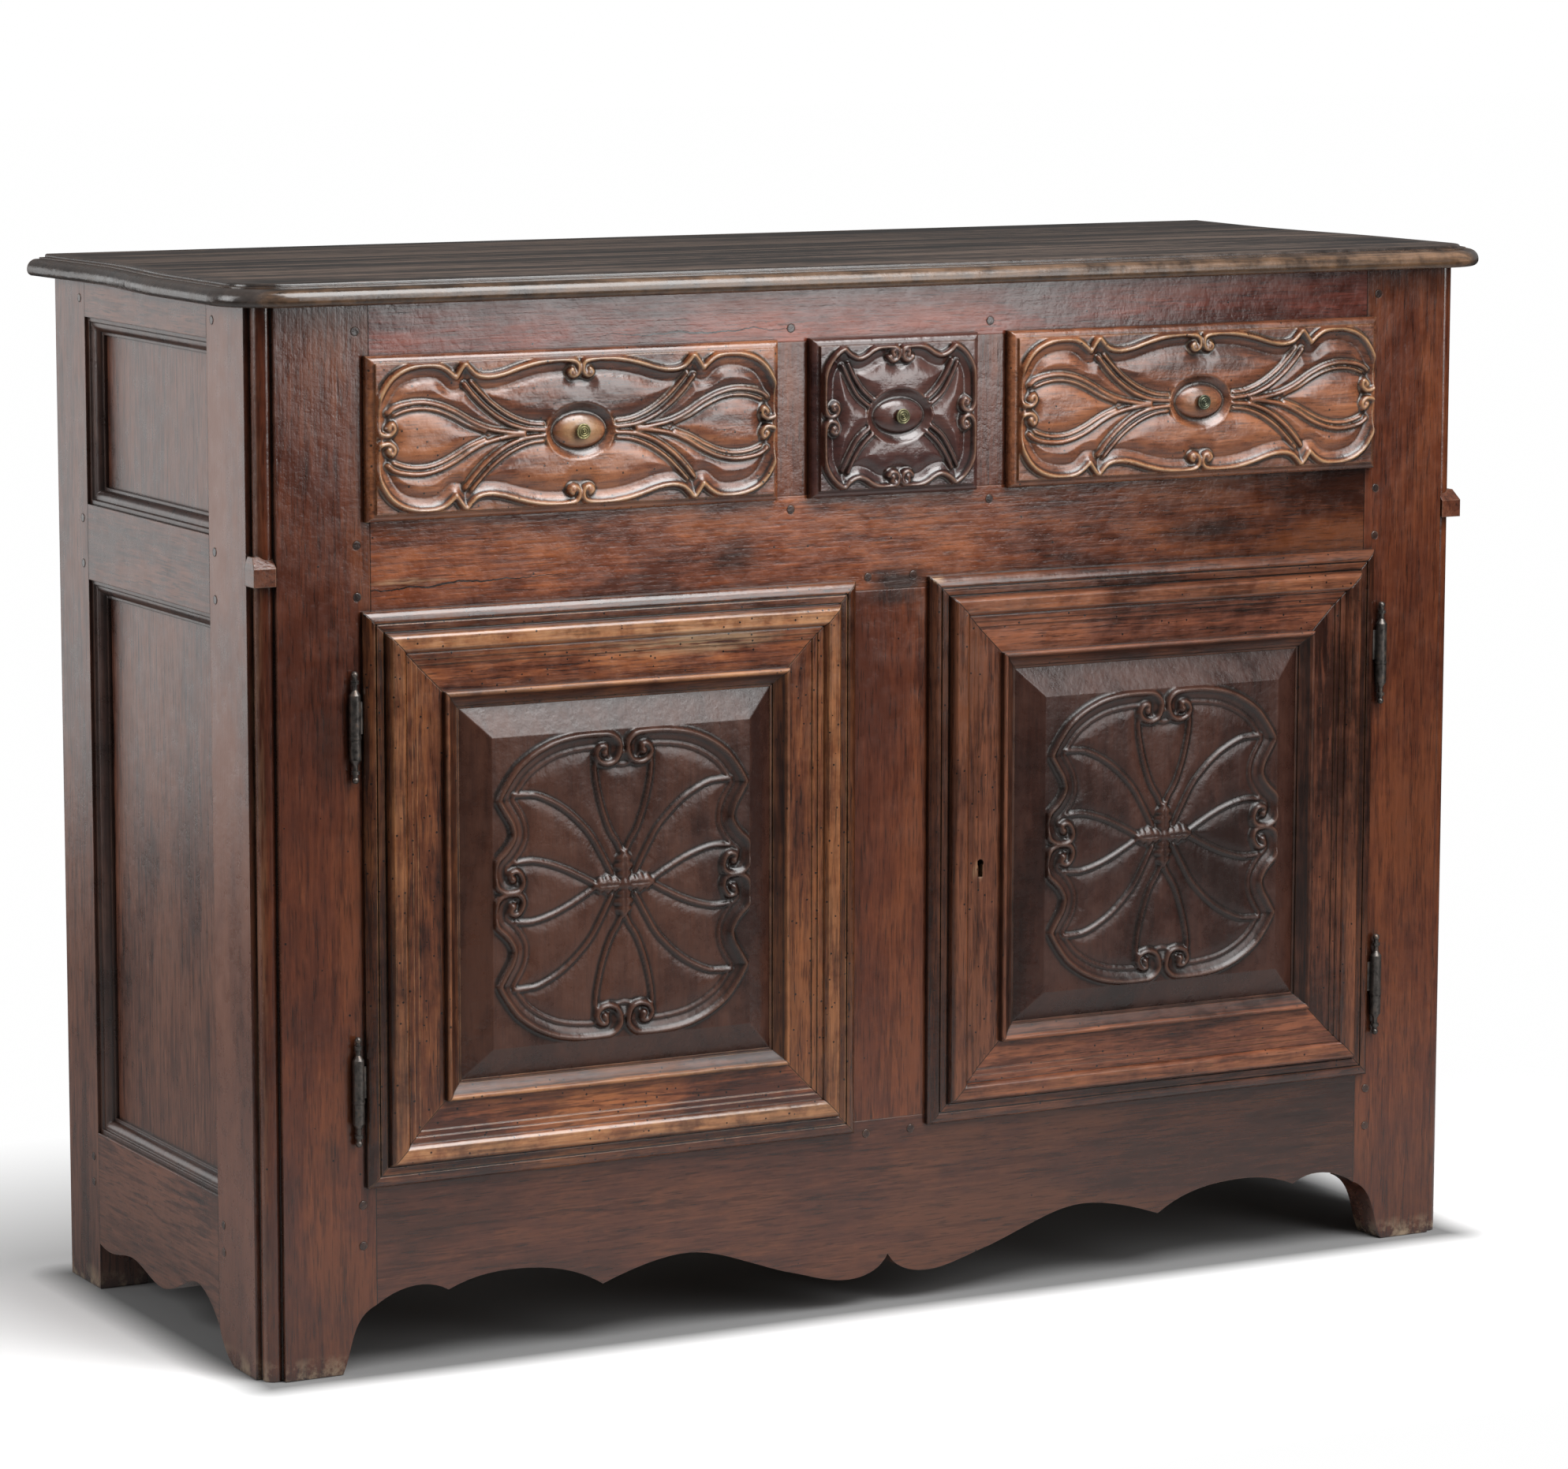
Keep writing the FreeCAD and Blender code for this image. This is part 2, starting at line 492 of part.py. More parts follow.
rail_cuts = {"front_top_rail": [divider_stub, right_stub],
             "front_middle_rail": [divider_stub, right_stub, stile_stub],
             "front_apron_rail": [stile_stub] + floor_boards}
for name in ("front_top_rail", "front_middle_rail", "front_apron_rail"):
    rail = fuse(name + "_whole", [rails[name]] + rails[name + "_tenons"])
    node(name, cut(name, rail, rail_cuts[name] + all_pegs))
divider = fuse("divider", [divider_board, divider_stub])
left_divider = cut("left_divider", divider, [left_pegs])
node("drawer_dividers", group("drawer_dividers", [left_divider, mirror("right_divider", left_divider)]))

for name, low, high in (("back_top_rail", "carcass_height - back_top_h", "carcass_height"),
                        ("back_middle_rail", f"{MID_TOP} - back_mid_h", MID_TOP),
                        ("back_bottom_rail", "back_low_z", "back_low_z + back_low_h")):
    rail = box(name + "_board", ("-" + INNER, INNER), (BACK_FRONT, BACK_FACE), (low, high))
    node(name, cut(name, rail, floor_boards) if name == "back_bottom_rail" else rail)
boards = int(size("back_board_count"))
BOARD = f"(2 * {INNER} / back_board_count)"
back_boards = [box(f"back_board_{count}",
                   (f"{count} * {BOARD} - {INNER}", f"{count + 1} * {BOARD} - {INNER}"),
                   (BACK_FACE, f"{BACK_FACE} + back_board_thick"), ("back_board_low", "carcass_height"))
               for count in range(boards)]
node("back_boards", group("back_boards", back_boards))

# One shelf on side bearers.
bearer = box("left_bearer", ("-" + INNER, f"-{INNER} + bearer_w"), ("post_front_thick", BACK_FACE),
             ("shelf_z - bearer_h", "shelf_z"))
node("shelf_bearers", group("shelf_bearers", [bearer, mirror("right_bearer", bearer)]))
SHELF_Z = ("shelf_z", "shelf_z + shelf_thick")
node("shelf_boards", group("shelf_boards", [
    box("shelf_front_board", ("-" + INNER, INNER), ("shelf_front", "shelf_joint"), SHELF_Z),
    box("shelf_back_board", ("-" + INNER, INNER), ("shelf_joint", BACK_FRONT), SHELF_Z)]))

# Drawer runners with guides beside the drawers.
RUNNER_Z = (f"{MID_TOP} - runner_thick", MID_TOP)
RUNNER_Y = ("rail_thick", BACK_FRONT)
outer_runner = box("outer_runner", ("-" + STILE, f"-{STILE} + runner_w"), RUNNER_Y, RUNNER_Z)
inner_runner = box("inner_runner", (f"-{DIVIDER_OUT} - runner_w", f"-{DIVIDER_IN} + runner_w"), RUNNER_Y,
                   RUNNER_Z)
left_runners = [outer_runner, inner_runner]
right_runners = [mirror(item.Name + "_right", item) for item in left_runners]
node("drawer_runners", group("drawer_runners", left_runners + right_runners))
outer_guide = box("outer_guide", (f"-{STILE} - guide_w", "-" + STILE), ("post_front_thick", BACK_FRONT),
                  (RUNNER_Z[0], f"{MID_TOP} + guide_h"))
inner_guide = box("inner_guide", (f"-{DIVIDER_OUT}", f"-{DIVIDER_IN}"), RUNNER_Y,
                  (MID_TOP, f"{MID_TOP} + guide_h"))
left_guides = [outer_guide, inner_guide]
right_guides = [mirror(item.Name + "_right", item) for item in left_guides]
node("drawer_guides", group("drawer_guides", left_guides + right_guides))


def front_edges(item, radius):
    """Rounds the four front edges of a board."""
    doc.recompute()
    face_y = item.Shape.BoundBox.YMin
    rounded = doc.addObject("Part::Fillet", item.Name + "_rounded")
    rounded.Base = item
    rounded.Edges = [(count, radius, radius) for count, edge in enumerate(item.Shape.Edges, start=1)
                     if abs(edge.BoundBox.YMax - face_y) < 1e-6]
    return rounded


DRAWER_END = f"({BACK_FRONT} - drawer_back_gap)"


def drawer(name, low, high):
    """Front, box, bottom and knob of a lipped drawer in the opening from low to high."""
    front_z = (f"{MID_TOP} - drawer_lap_v", f"{TOP_RAIL_LOW} + drawer_lap_v")
    lip = box(name + "_lip", (f"{low} - drawer_lap", f"{high} + drawer_lap"), ("-drawer_lip_h", "-lip_gap"),
              front_z)
    field = box(name + "_field",
                (f"{low} - drawer_lap + drawer_field_in", f"{high} + drawer_lap - drawer_field_in"),
                ("-drawer_field_h", "-lip_gap"),
                (f"{front_z[0]} + drawer_field_in", f"{front_z[1]} - drawer_field_in"))
    core = box(name + "_core", (f"{low} + drawer_gap", f"{high} - drawer_gap"), ("-lip_gap", "drawer_core"),
               (f"{MID_TOP} + drawer_gap", f"{TOP_RAIL_LOW} - drawer_gap"))
    side_y = ("drawer_core - drawer_lap_in", DRAWER_END)
    side_z = (f"{MID_TOP} + run_gap", f"{MID_TOP} + run_gap + drawer_side_h")
    floor_z = (f"{side_z[0]} + drawer_floor_up", f"{side_z[0]} + drawer_floor_up + drawer_floor")
    near = f"{low} + drawer_gap"
    far = f"{high} - drawer_gap"
    floor = box(name + "_floor",
                (f"{near} + drawer_side - drawer_groove", f"{far} - drawer_side + drawer_groove"),
                ("drawer_core - drawer_groove", DRAWER_END), floor_z)
    near_side = box(name + "_near", (near, f"{near} + drawer_side"), side_y, side_z)
    far_side = box(name + "_far", (f"{far} - drawer_side", far), side_y, side_z)
    back = box(name + "_back", (f"{near} + drawer_side", f"{far} - drawer_side"),
               (f"{DRAWER_END} - drawer_side", DRAWER_END), (floor_z[1], f"{side_z[1]} - drawer_back_drop"))
    knob_x = f"({low} + {high}) / 2"
    knob_z = f"({MID_TOP} + {TOP_RAIL_LOW}) / 2"
    boss = doc.addObject("Part::Ellipsoid", name + "_boss")
    for prop, radius in (("Radius1", "boss_h"), ("Radius2", "boss_w"), ("Radius3", "boss_proud")):
        boss.setExpression(prop, bound(radius))
    place(boss, knob_x, "-drawer_field_h", knob_z)
    pieces = []
    level = "-drawer_field_h - boss_proud + knob_set"
    for part, radius, length in (("plate", "knob_plate_r", "knob_plate"),
                                 ("neck", "knob_neck_r", "knob_neck"),
                                 ("head", "knob_head_r", "knob_head")):
        level = f"{level} - {length}"
        pieces.append(rod(f"{name}_knob_{part}", radius, "y", length, knob_x, level, knob_z))
    pieces.append(ball(f"{name}_knob_tip", "knob_tip_r", knob_x, level, knob_z))
    pieces.append(rod(f"{name}_knob_shank", "knob_shank_r", "y",
                      "drawer_field_h + boss_proud + drawer_core + knob_shank_out", knob_x,
                      "-drawer_field_h - boss_proud", knob_z))
    knob = fuse(name + "_knob", pieces)
    board = fuse(name + "_blank", [front_edges(lip, size("drawer_round")), field, core, boss])
    return {"front": cut(name + "_front", board, [near_side, far_side, floor, knob]),
            "box": group(name + "_box", [cut(name + "_near_side", near_side, [floor]),
                                         cut(name + "_far_side", far_side, [floor]), back]),
            "bottom": floor,
            "knob": knob}


for part, item in drawer("left_drawer", f"-{STILE}", f"-{DIVIDER_OUT}").items():
    both_sides("drawer_" + part, item)
for part, item in drawer("centre_drawer", f"-{DIVIDER_IN}", DIVIDER_IN).items():
    node("centre_drawer_" + part, item)

# Door frames: mitred members with a torus moulding, lapping over the carcass frame.
door_low = (-(span + size("door_lap")), size("apron_top") - size("door_lap"))
door_high = (-(size("centre_stile_w") / 2 - size("door_lap")), mid_low + size("door_lap"))
lip, edge, edge_low, edge_h = (size(alias) for alias in ("lip_gap", "edge_w", "edge_low", "edge_h"))
torus_from = edge + size("fascia_w")
torus_to = torus_from + size("torus_w")
torus_h, one_h, two_h = (size(alias) for alias in ("torus_h", "fillet_one_h", "fillet_two_h"))
flat_h = size("flat_h")
one_to = torus_to + size("fillet_w")
two_to = one_to + size("fillet_w")
member = two_to + size("flat_w")
rebate = size("door_lap") + size("door_gap")
back = -size("door_back")
# The narrow sunk lines beside the mouldings.
QUIRK = 1.5
edge_swell = (0.3 * edge, edge_h - 0.25 * (edge_h - edge_low))
torus_crown = ((torus_from + torus_to) / 2, torus_h)
MEMBER = [
    (0, lip), (0, edge_low), (edge_swell, (edge - QUIRK, edge_h)), (edge - QUIRK, edge_h - QUIRK),
    (edge, edge_h - QUIRK), (edge, edge_h), (torus_from - QUIRK, edge_h), (torus_from, edge_h - QUIRK),
    (torus_crown, (torus_to, one_h - QUIRK)), (torus_to, one_h), (one_to, one_h), (one_to, two_h),
    (two_to, two_h), (two_to, flat_h), (member, flat_h), (member, back), (rebate, back), (rebate, lip)]


def on_door(x, z, h):
    return FreeCAD.Vector(x, FRONT_Y - h, z)


frame_parts = mitred("door_member", MEMBER, door_low, door_high, on_door)

# The loose moulding covers the joint of frame and panel.
mould_from = member - size("bolection_lap")
mould_to = mould_from + size("bolection_w")
mould_h, toe = size("bolection_h"), size("bolection_toe")
face_h = size("door_panel_face")
mould_crown = (mould_from + QUIRK, mould_h)
mould_hollow = (mould_from + 0.55 * (mould_to - mould_from), toe + 0.3 * (mould_h - toe))
BOLECTION = [
    (mould_from, flat_h), (mould_from, mould_h - QUIRK),
    (mould_crown, (mould_from + 3 * QUIRK, mould_h - QUIRK)), (mould_hollow, (mould_to - 2 * QUIRK, toe)),
    (mould_to - 2 * QUIRK, toe - QUIRK), (mould_to, toe - QUIRK), (mould_to, face_h), (member, face_h),
    (member, flat_h)]
moulding = mitred("door_moulding", BOLECTION, door_low, door_high, on_door)

# The panel: a tongue all round, a broad bevel and a raised field.
PANEL_IN = "(edge_w + fascia_w + torus_w + 2 * fillet_w + flat_w - door_panel_tongue)"
DOOR_X = (f"-{DOOR_OUT}", f"-({CENTRE} - door_lap)")
DOOR_Z = ("(apron_top - door_lap)", f"({MID_LOW} + door_lap)")
panel_slab = box("door_panel_slab", (f"{DOOR_X[0]} + {PANEL_IN}", f"{DOOR_X[1]} - {PANEL_IN}"),
                 ("-door_panel_face", "door_panel_back"),
                 (f"{DOOR_Z[0]} + {PANEL_IN}", f"{DOOR_Z[1]} - {PANEL_IN}"))
bevel_to = mould_to + size("bevel_w")
levels = []
for inset, h in ((mould_to, face_h), (bevel_to, size("door_field_h"))):
    corners = [(door_low[0] + inset, door_low[1] + inset), (door_high[0] - inset, door_low[1] + inset),
               (door_high[0] - inset, door_high[1] - inset), (door_low[0] + inset, door_high[1] - inset)]
    levels.append(Part.makePolygon([on_door(x, z, h) for x, z in corners + corners[:1]]))
panel = fuse("door_panel", [panel_slab, feature("door_panel_field", Part.makeLoft(levels, True, True))])

# Rails carry the tenons; the stiles are mortised for them.
TENON_H = ("door_tenon_back - door_tenon_thick", "door_tenon_back")
door_tenons = {}
REACH = f"{PANEL_IN} + door_panel_tongue"
for rail_name, low in (("high", f"{DOOR_Z[1]} - door_tenon_out - door_tenon_w"),
                       ("low", f"{DOOR_Z[0]} + door_tenon_out")):
    z = (low, f"{low} + door_tenon_w")
    door_tenons[rail_name] = [
        box(f"door_{rail_name}_tenon_left", (f"{DOOR_X[0]} + door_tenon_end", f"{DOOR_X[0]} + {REACH}"),
            TENON_H, z),
        box(f"door_{rail_name}_tenon_right", (f"{DOOR_X[1]} - {REACH}", f"{DOOR_X[1]} - door_tenon_end"),
            TENON_H, z)]
tenons = door_tenons["high"] + door_tenons["low"]
hinge_stile = cut("left_door_hinge_stile", frame_parts["left"], tenons + [panel] + door_leaves)
meeting_stile = cut("door_meeting_stile", frame_parts["right"], tenons + [panel])
door_rails = []
for rail_name in ("high", "low"):
    rail = fuse(f"door_{rail_name}_whole", [frame_parts[rail_name]] + door_tenons[rail_name])
    door_rails.append(cut(f"door_{rail_name}_rail", rail, [panel]))
both_sides("door_hinge_stile", hinge_stile)
both_sides("door_rails", group("left_door_rails", door_rails))
both_sides("door_panel", panel)
both_sides("door_panel_moulding", group("left_door_panel_moulding", list(moulding.values())))

# Left door: a wooden button on a spindle turns behind the centre stile.
SPINDLE_X = f"{DOOR_X[1]} - button_in"
BUTTON_Y = ("rail_thick + button_room", "rail_thick + button_room + button_thick")
SPINDLE_LEN = "spindle_in + rail_thick + button_room - door_back"
button = fuse("left_door_turn_button", [
    box("button_bar", (f"{SPINDLE_X} - button_w / 2", f"{SPINDLE_X} + button_w / 2"), BUTTON_Y,
        (f"{DOOR_MID} - button_down", f"{DOOR_MID} + button_up")),
    rod("button_spindle", "spindle_r", "y", SPINDLE_LEN + " + button_thick / 2", SPINDLE_X,
        "door_back - spindle_in", DOOR_MID)])
node("left_door_turn_button", button)
spindle_hole = rod("spindle_hole", "spindle_r + pin_fit", "y", "spindle_in + button_room", SPINDLE_X,
                   "door_back - spindle_in - pin_fit", DOOR_MID)
node("left_door_meeting_stile", cut("left_door_meeting_stile", meeting_stile, [spindle_hole]))

# Right door: an iron lock on the back of the meeting stile, its bolt drawn back at rest.
RIGHT_EDGE = f"({CENTRE} - door_lap)"
LOCK_Z = f"({DOOR_MID} - lock_below)"
CASE_X = (f"{RIGHT_EDGE} + lock_inset", f"{RIGHT_EDGE} + lock_inset + lock_w")
BOLT_X = (f"{CENTRE} + bolt_back", f"{CASE_X[1]} - bolt_tail")
BOLT_Y = ("door_back + bolt_set", "door_back + bolt_set + bolt_thick")
BOLT_Z = (f"{LOCK_Z} - bolt_h / 2", f"{LOCK_Z} + bolt_h / 2")
node("right_door_lock_bolt", box("right_door_lock_bolt", BOLT_X, BOLT_Y, BOLT_Z))


def wider(ends, room):
    return f"{ends[0]} - {room}", f"{ends[1]} + {room}"


way = box("bolt_way", *(wider(ends, "bolt_fit") for ends in (BOLT_X, BOLT_Y, BOLT_Z)))
case = box("lock_blank", CASE_X, ("door_back", "door_back + lock_thick"),
           (f"{LOCK_Z} - lock_h / 2", f"{LOCK_Z} + lock_h / 2"))
node("right_door_lock_case", cut("right_door_lock_case", case, [way]))
KEY_X = f"{RIGHT_EDGE} + keyhole_x"
KEY_Z = (f"{LOCK_Z} - keyhole_drop / 2", f"{LOCK_Z} + keyhole_drop / 2")
keyhole = fuse("keyhole", [
    rod("keyhole_round", "keyhole_r", "y", "torus_h + door_back", KEY_X, "-torus_h", KEY_Z[1]),
    box("keyhole_slot", (f"{KEY_X} - keyhole_w / 2", f"{KEY_X} + keyhole_w / 2"), ("-torus_h", "door_back"),
        KEY_Z)])
right_meeting = mirror("right_meeting_stile", meeting_stile)
node("right_door_lock_stile", cut("right_door_lock_stile", right_meeting, [keyhole]))
strike = box("strike", (f"{CENTRE} - strike_deep", CENTRE), wider(BOLT_Y, "strike_room"),
             wider(BOLT_Z, "strike_room"))
whole_stile = fuse("stile_whole", [stile_board, stile_stub])
node("centre_stile", cut("centre_stile", whole_stile, [strike] + all_pegs))

# Small sloped blocks cut over the corner beads beside the middle rail.
block_y = FRONT_Y - size("block_proud")
block_x = outer_x - size("block_proud")
block_w, slope, ease = (size(alias) for alias in ("block_w", "block_slope", "block_ease"))
block_low = mid_low + size("block_up")
block_high = block_low + size("block_h")
low_ring = [(block_x, block_y), (block_x + block_w, block_y), (block_x + block_w, block_y + block_w),
            (block_x, block_y + block_w)]
high_ring = [(block_x + ease, block_y + slope), (block_x + block_w, block_y + slope),
             (block_x + block_w, block_y + block_w), (block_x + ease, block_y + block_w)]


def ring_at(ring, z):
    return Part.makePolygon([FreeCAD.Vector(x, y, z) for x, y in ring + ring[:1]])


upright = block_high - slope - block_low
block_foot = Part.Face(ring_at(low_ring, block_low)).extrude(FreeCAD.Vector(0, 0, upright))
block_rings = [ring_at(low_ring, block_high - slope), ring_at(high_ring, block_high)]
block_head = Part.makeLoft(block_rings, True, True)
block_blank = feature("block_blank", block_foot.fuse(block_head).removeSplitter())
block = cut("left_corner_block", block_blank, [post_round])
node("corner_blocks", group("corner_blocks", [block, mirror("right_corner_block", block)]))


# The top: three layers with one outline, each stepped in from the one below at the front and ends.
# The ends run straight behind the corner, then dip in and ease out again: (share of length, share of dip).
END_SPOTS = [(0.27, 0), (0.47, 0.5), (0.66, 1), (0.84, 0.75), (1, 0.4)]
END_PULL = 0.4


def top_outline(inset, z):
    end = size("carcass_width") / 2 + size("top_end") - inset
    near = FRONT_Y - size("top_front") + inset
    far = FRONT_Y + size("carcass_depth") + size("top_back")
    radius = size("top_corner") - inset
    wave, depth = size("end_wave"), far - near - radius
    diagonal = radius * (1 - math.sqrt(0.5))

    def at(x, y):
        return FreeCAD.Vector(x, y, z)

    def end_edges(sign):
        """A straight run behind the corner, then a shallow hollow that eases out to the back."""
        points = [at(sign * (end - wave * dip), near + radius + depth * share) for share, dip in END_SPOTS]
        curve = Part.BSplineCurve()
        curve.interpolate(points, InitialTangent=FreeCAD.Vector(0, END_PULL * depth, 0),
                          FinalTangent=FreeCAD.Vector(sign * wave, END_PULL * depth, 0))
        start = Part.LineSegment(at(sign * end, near + radius), points[0]).toShape()
        return [start, curve.toShape()]

    front = Part.LineSegment(at(radius - end, near), at(end - radius, near)).toShape()
    corners = [Part.Arc(at(sign * (end - radius), near), at(sign * (end - diagonal), near + diagonal),
                        at(sign * end, near + radius)).toShape() for sign in (1, -1)]
    rear_end = end - wave * END_SPOTS[-1][1]
    rear = Part.LineSegment(at(rear_end, far), at(-rear_end, far)).toShape()
    edges = [front, rear] + corners + end_edges(1) + end_edges(-1)
    return Part.Face(Part.Wire(Part.__sortEdges__(edges)))


def top_layer(inset, low, thick, round_low, round_high):
    slab = top_outline(inset, low).extrude(FreeCAD.Vector(0, 0, thick))
    far = slab.BoundBox.YMax
    for level, radius in ((low, round_low), (low + thick, round_high)):
        rim = [edge for edge in slab.Edges if edge.BoundBox.ZLength < 1e-6
               and abs(edge.BoundBox.ZMin - level) < 1e-6 and edge.BoundBox.YMin < far - 1]
        if radius:
            slab = slab.makeFillet(radius, rim)
    return slab


nose_low = size("carcass_height")
fillet_low = nose_low + size("nose_thick")
field_low = fillet_low + size("fillet_thick")
top_slab = top_layer(0, nose_low, size("nose_thick"), size("nose_under"), size("nose_round"))
top_fillet = top_layer(size("fillet_inset"), fillet_low, size("fillet_thick"), 0, 0)
top_field = top_layer(size("field_inset"), field_low, size("field_thick"), 0, size("field_round"))
top_slab = top_slab.fuse([top_fillet, top_field])
slab = feature("top_slab", top_slab.removeSplitter())
TOP_X = (f"-{HALF} - 2 * top_end", f"{HALF} + 2 * top_end")
TOP_Z = ("carcass_height - nose_thick", "carcass_height + 3 * nose_thick")
front_half = box("top_front_half", TOP_X, ("-2 * top_front", "top_joint"), TOP_Z)
back_half = box("top_back_half", TOP_X, ("top_joint", "carcass_depth + 2 * top_back"), TOP_Z)
node("top_boards", group("top_boards", [
    common("top_front_board", slab, front_half), common("top_back_board", slab, back_half)]))

doc.recompute()
faults = [item.Label for item in doc.Objects if "Invalid" in item.State or "Error" in item.State]
for name, item in nodes.items():
    if item.Shape.isNull() or not item.Shape.isValid() or not item.Shape.Solids:
        faults.append(name)
if faults:
    raise RuntimeError("these did not build: " + ", ".join(faults))

os.makedirs("parts", exist_ok=True)
for name, item in nodes.items():
    item.Shape.exportStep(os.path.join("parts", name + ".step"))
    print(name, len(item.Shape.Solids), round(item.Shape.Volume))
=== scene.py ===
import math

import bpy
import numpy as np
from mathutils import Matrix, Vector


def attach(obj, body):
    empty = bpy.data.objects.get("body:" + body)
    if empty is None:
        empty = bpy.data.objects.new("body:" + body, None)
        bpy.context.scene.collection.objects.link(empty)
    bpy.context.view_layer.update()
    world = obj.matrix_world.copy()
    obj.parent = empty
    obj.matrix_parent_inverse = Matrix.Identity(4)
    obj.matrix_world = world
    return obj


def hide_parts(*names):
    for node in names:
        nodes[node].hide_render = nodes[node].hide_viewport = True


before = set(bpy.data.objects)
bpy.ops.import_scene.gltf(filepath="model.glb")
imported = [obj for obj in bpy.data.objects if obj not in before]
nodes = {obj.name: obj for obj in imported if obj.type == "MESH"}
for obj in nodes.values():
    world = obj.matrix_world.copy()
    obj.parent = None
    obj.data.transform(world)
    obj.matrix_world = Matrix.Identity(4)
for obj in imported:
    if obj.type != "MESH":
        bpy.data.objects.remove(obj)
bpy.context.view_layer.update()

bpy.ops.object.select_all(action="DESELECT")

MM = 0.001
FRONT = -0.238  # the carcass front on Y, in metres
# Middles of the doors and drawers on the front, in millimetres; the left ones are at minus X.
DOOR_X, DOOR_Z = 299.5, 446.5
DRAWER_X, DRAWER_Z = 340.5, 876


# Wood, iron and brass

class Finish:
    """A material under construction: short calls that add and join its nodes."""

    def __init__(self, name):
        self.material = bpy.data.materials.new(name)
        self.material.use_nodes = True
        self.tree = self.material.node_tree
        self.shader = self.tree.nodes["Principled BSDF"]

    def add(self, kind, inputs=None, **settings):
        made = self.tree.nodes.new("ShaderNode" + kind)
        for key, value in settings.items():
            setattr(made, key, value)
        for key, value in (inputs or {}).items():
            self.feed(made.inputs[key], value)
        return made

    def feed(self, socket, value):
        if isinstance(value, bpy.types.NodeSocket):
            self.tree.links.new(value, socket)
        else:
            socket.default_value = value

    def give(self, name, value):
        self.feed(self.shader.inputs[name], value)

    def bump(self, strength, distance, height, normal=None):
        inputs = {"Strength": strength, "Distance": distance, "Height": height}
        if normal is not None:
            inputs["Normal"] = normal
        self.give("Normal", self.add("Bump", inputs).outputs["Normal"])

    def part(self, vector, axis):
        return self.add("SeparateXYZ", {"Vector": vector}).outputs[axis]

    def at(self, axis):
        return self.part(self.add("TexCoord").outputs["Object"], axis)

    def place(self, scale=(1, 1, 1), shift=(0, 0, 0)):
        coords = self.add("TexCoord").outputs["Object"]
        return self.add("Mapping", {"Vector": coords, "Scale": scale, "Location": shift}).outputs["Vector"]

    def cloud(self, vector, scale, detail=4.0, rough=0.55, warp=0.0):
        return self.add("TexNoise", {"Vector": vector, "Scale": scale, "Detail": detail, "Roughness": rough,
                                     "Distortion": warp}).outputs["Fac"]

    def span(self, value, low, high, to_low=0.0, to_high=1.0):
        return self.add("MapRange", {"Value": value, "From Min": low, "From Max": high, "To Min": to_low,
                                     "To Max": to_high}).outputs["Result"]

    def math(self, operation, first, second=0.0):
        return self.add("Math", {0: first, 1: second}, operation=operation).outputs["Value"]

    def plus(self, first, second):
        return self.math("ADD", first, second)

    def minus(self, first, second):
        return self.math("SUBTRACT", first, second)

    def times(self, first, second):
        return self.math("MULTIPLY", first, second)

    def absolute(self, value):
        return self.math("ABSOLUTE", value)

    def vector(self, operation, first, second=None, output="Vector"):
        inputs = {0: first} if second is None else {0: first, 1: second}
        return self.add("VectorMath", inputs, operation=operation).outputs[output]

    def blend(self, amount, first, second, kind="MIX"):
        mixed = self.add("Mix", data_type="RGBA", blend_type=kind)
        self.feed(mixed.inputs["Factor"], amount)
        self.feed(mixed.inputs[6], first)
        self.feed(mixed.inputs[7], (*second, 1) if isinstance(second, tuple) else second)
        return mixed.outputs[2]

    def tint(self, colour, by):
        return self.blend(1.0, colour, by, "MULTIPLY")

    def ramp(self, value, places, colours):
        made = self.add("ValToRGB", {"Fac": value})
        bar = made.color_ramp
        while len(bar.elements) < len(places):
            bar.elements.new(0.5)
        for element, at, colour in zip(bar.elements, places, colours):
            element.position = at
            element.color = (*colour, 1)
        return made.outputs["Color"]

    def carved(self, name):
        return self.add("Attribute", attribute_name=name).outputs["Fac"]

    def height_off_front(self, low, high):
        """0 to 1 as the surface stands low to high metres proud of the carcass front."""
        return self.span(self.at("Y"), FRONT - low, FRONT - high)

    def mitred(self, x, z, lead):
        """Metres past a frame's mitre (above 0 on its uprights), and metres out from its middle at x, z."""
        off_x = self.minus(self.absolute(self.minus(self.at("X"), x * MM)), lead * MM)
        off_z = self.absolute(self.minus(self.at("Z"), z * MM))
        return self.minus(off_x, off_z), self.math("MAXIMUM", off_x, off_z)

    def board(self, axis, start, wide):
        """Boards side by side, in millimetres: a point's place among them, and its board's chance value."""
        count = self.math("DIVIDE", self.minus(self.at(axis), start * MM), wide * MM)
        chance = self.add("TexWhiteNoise", {"W": self.math("FLOOR", count)}, noise_dimensions="1D")
        return count, chance.outputs["Value"]

    def turned(self, amount, across, upright):
        """One direction of grain or the other."""
        mixed = self.add("Mix", data_type="VECTOR")
        self.feed(mixed.inputs["Factor"], amount)
        self.feed(mixed.inputs[4], across)
        self.feed(mixed.inputs[5], upright)
        return mixed.outputs[1]

    def patch(self, x, z, wide, tall, amount):
        """A patch on the front, ragged and soft at its edge, in millimetres."""
        spot = self.place((1 / (wide * MM), 0, 1 / (tall * MM)), (-x / wide, 0, -z / tall))
        distance = self.vector("LENGTH", spot, output="Value")
        ragged = self.plus(distance, self.cloud(self.place(), 26.0, 5.0, 0.65, 0.5))
        return self.span(ragged, 1.45, 0.75, 0.0, amount)

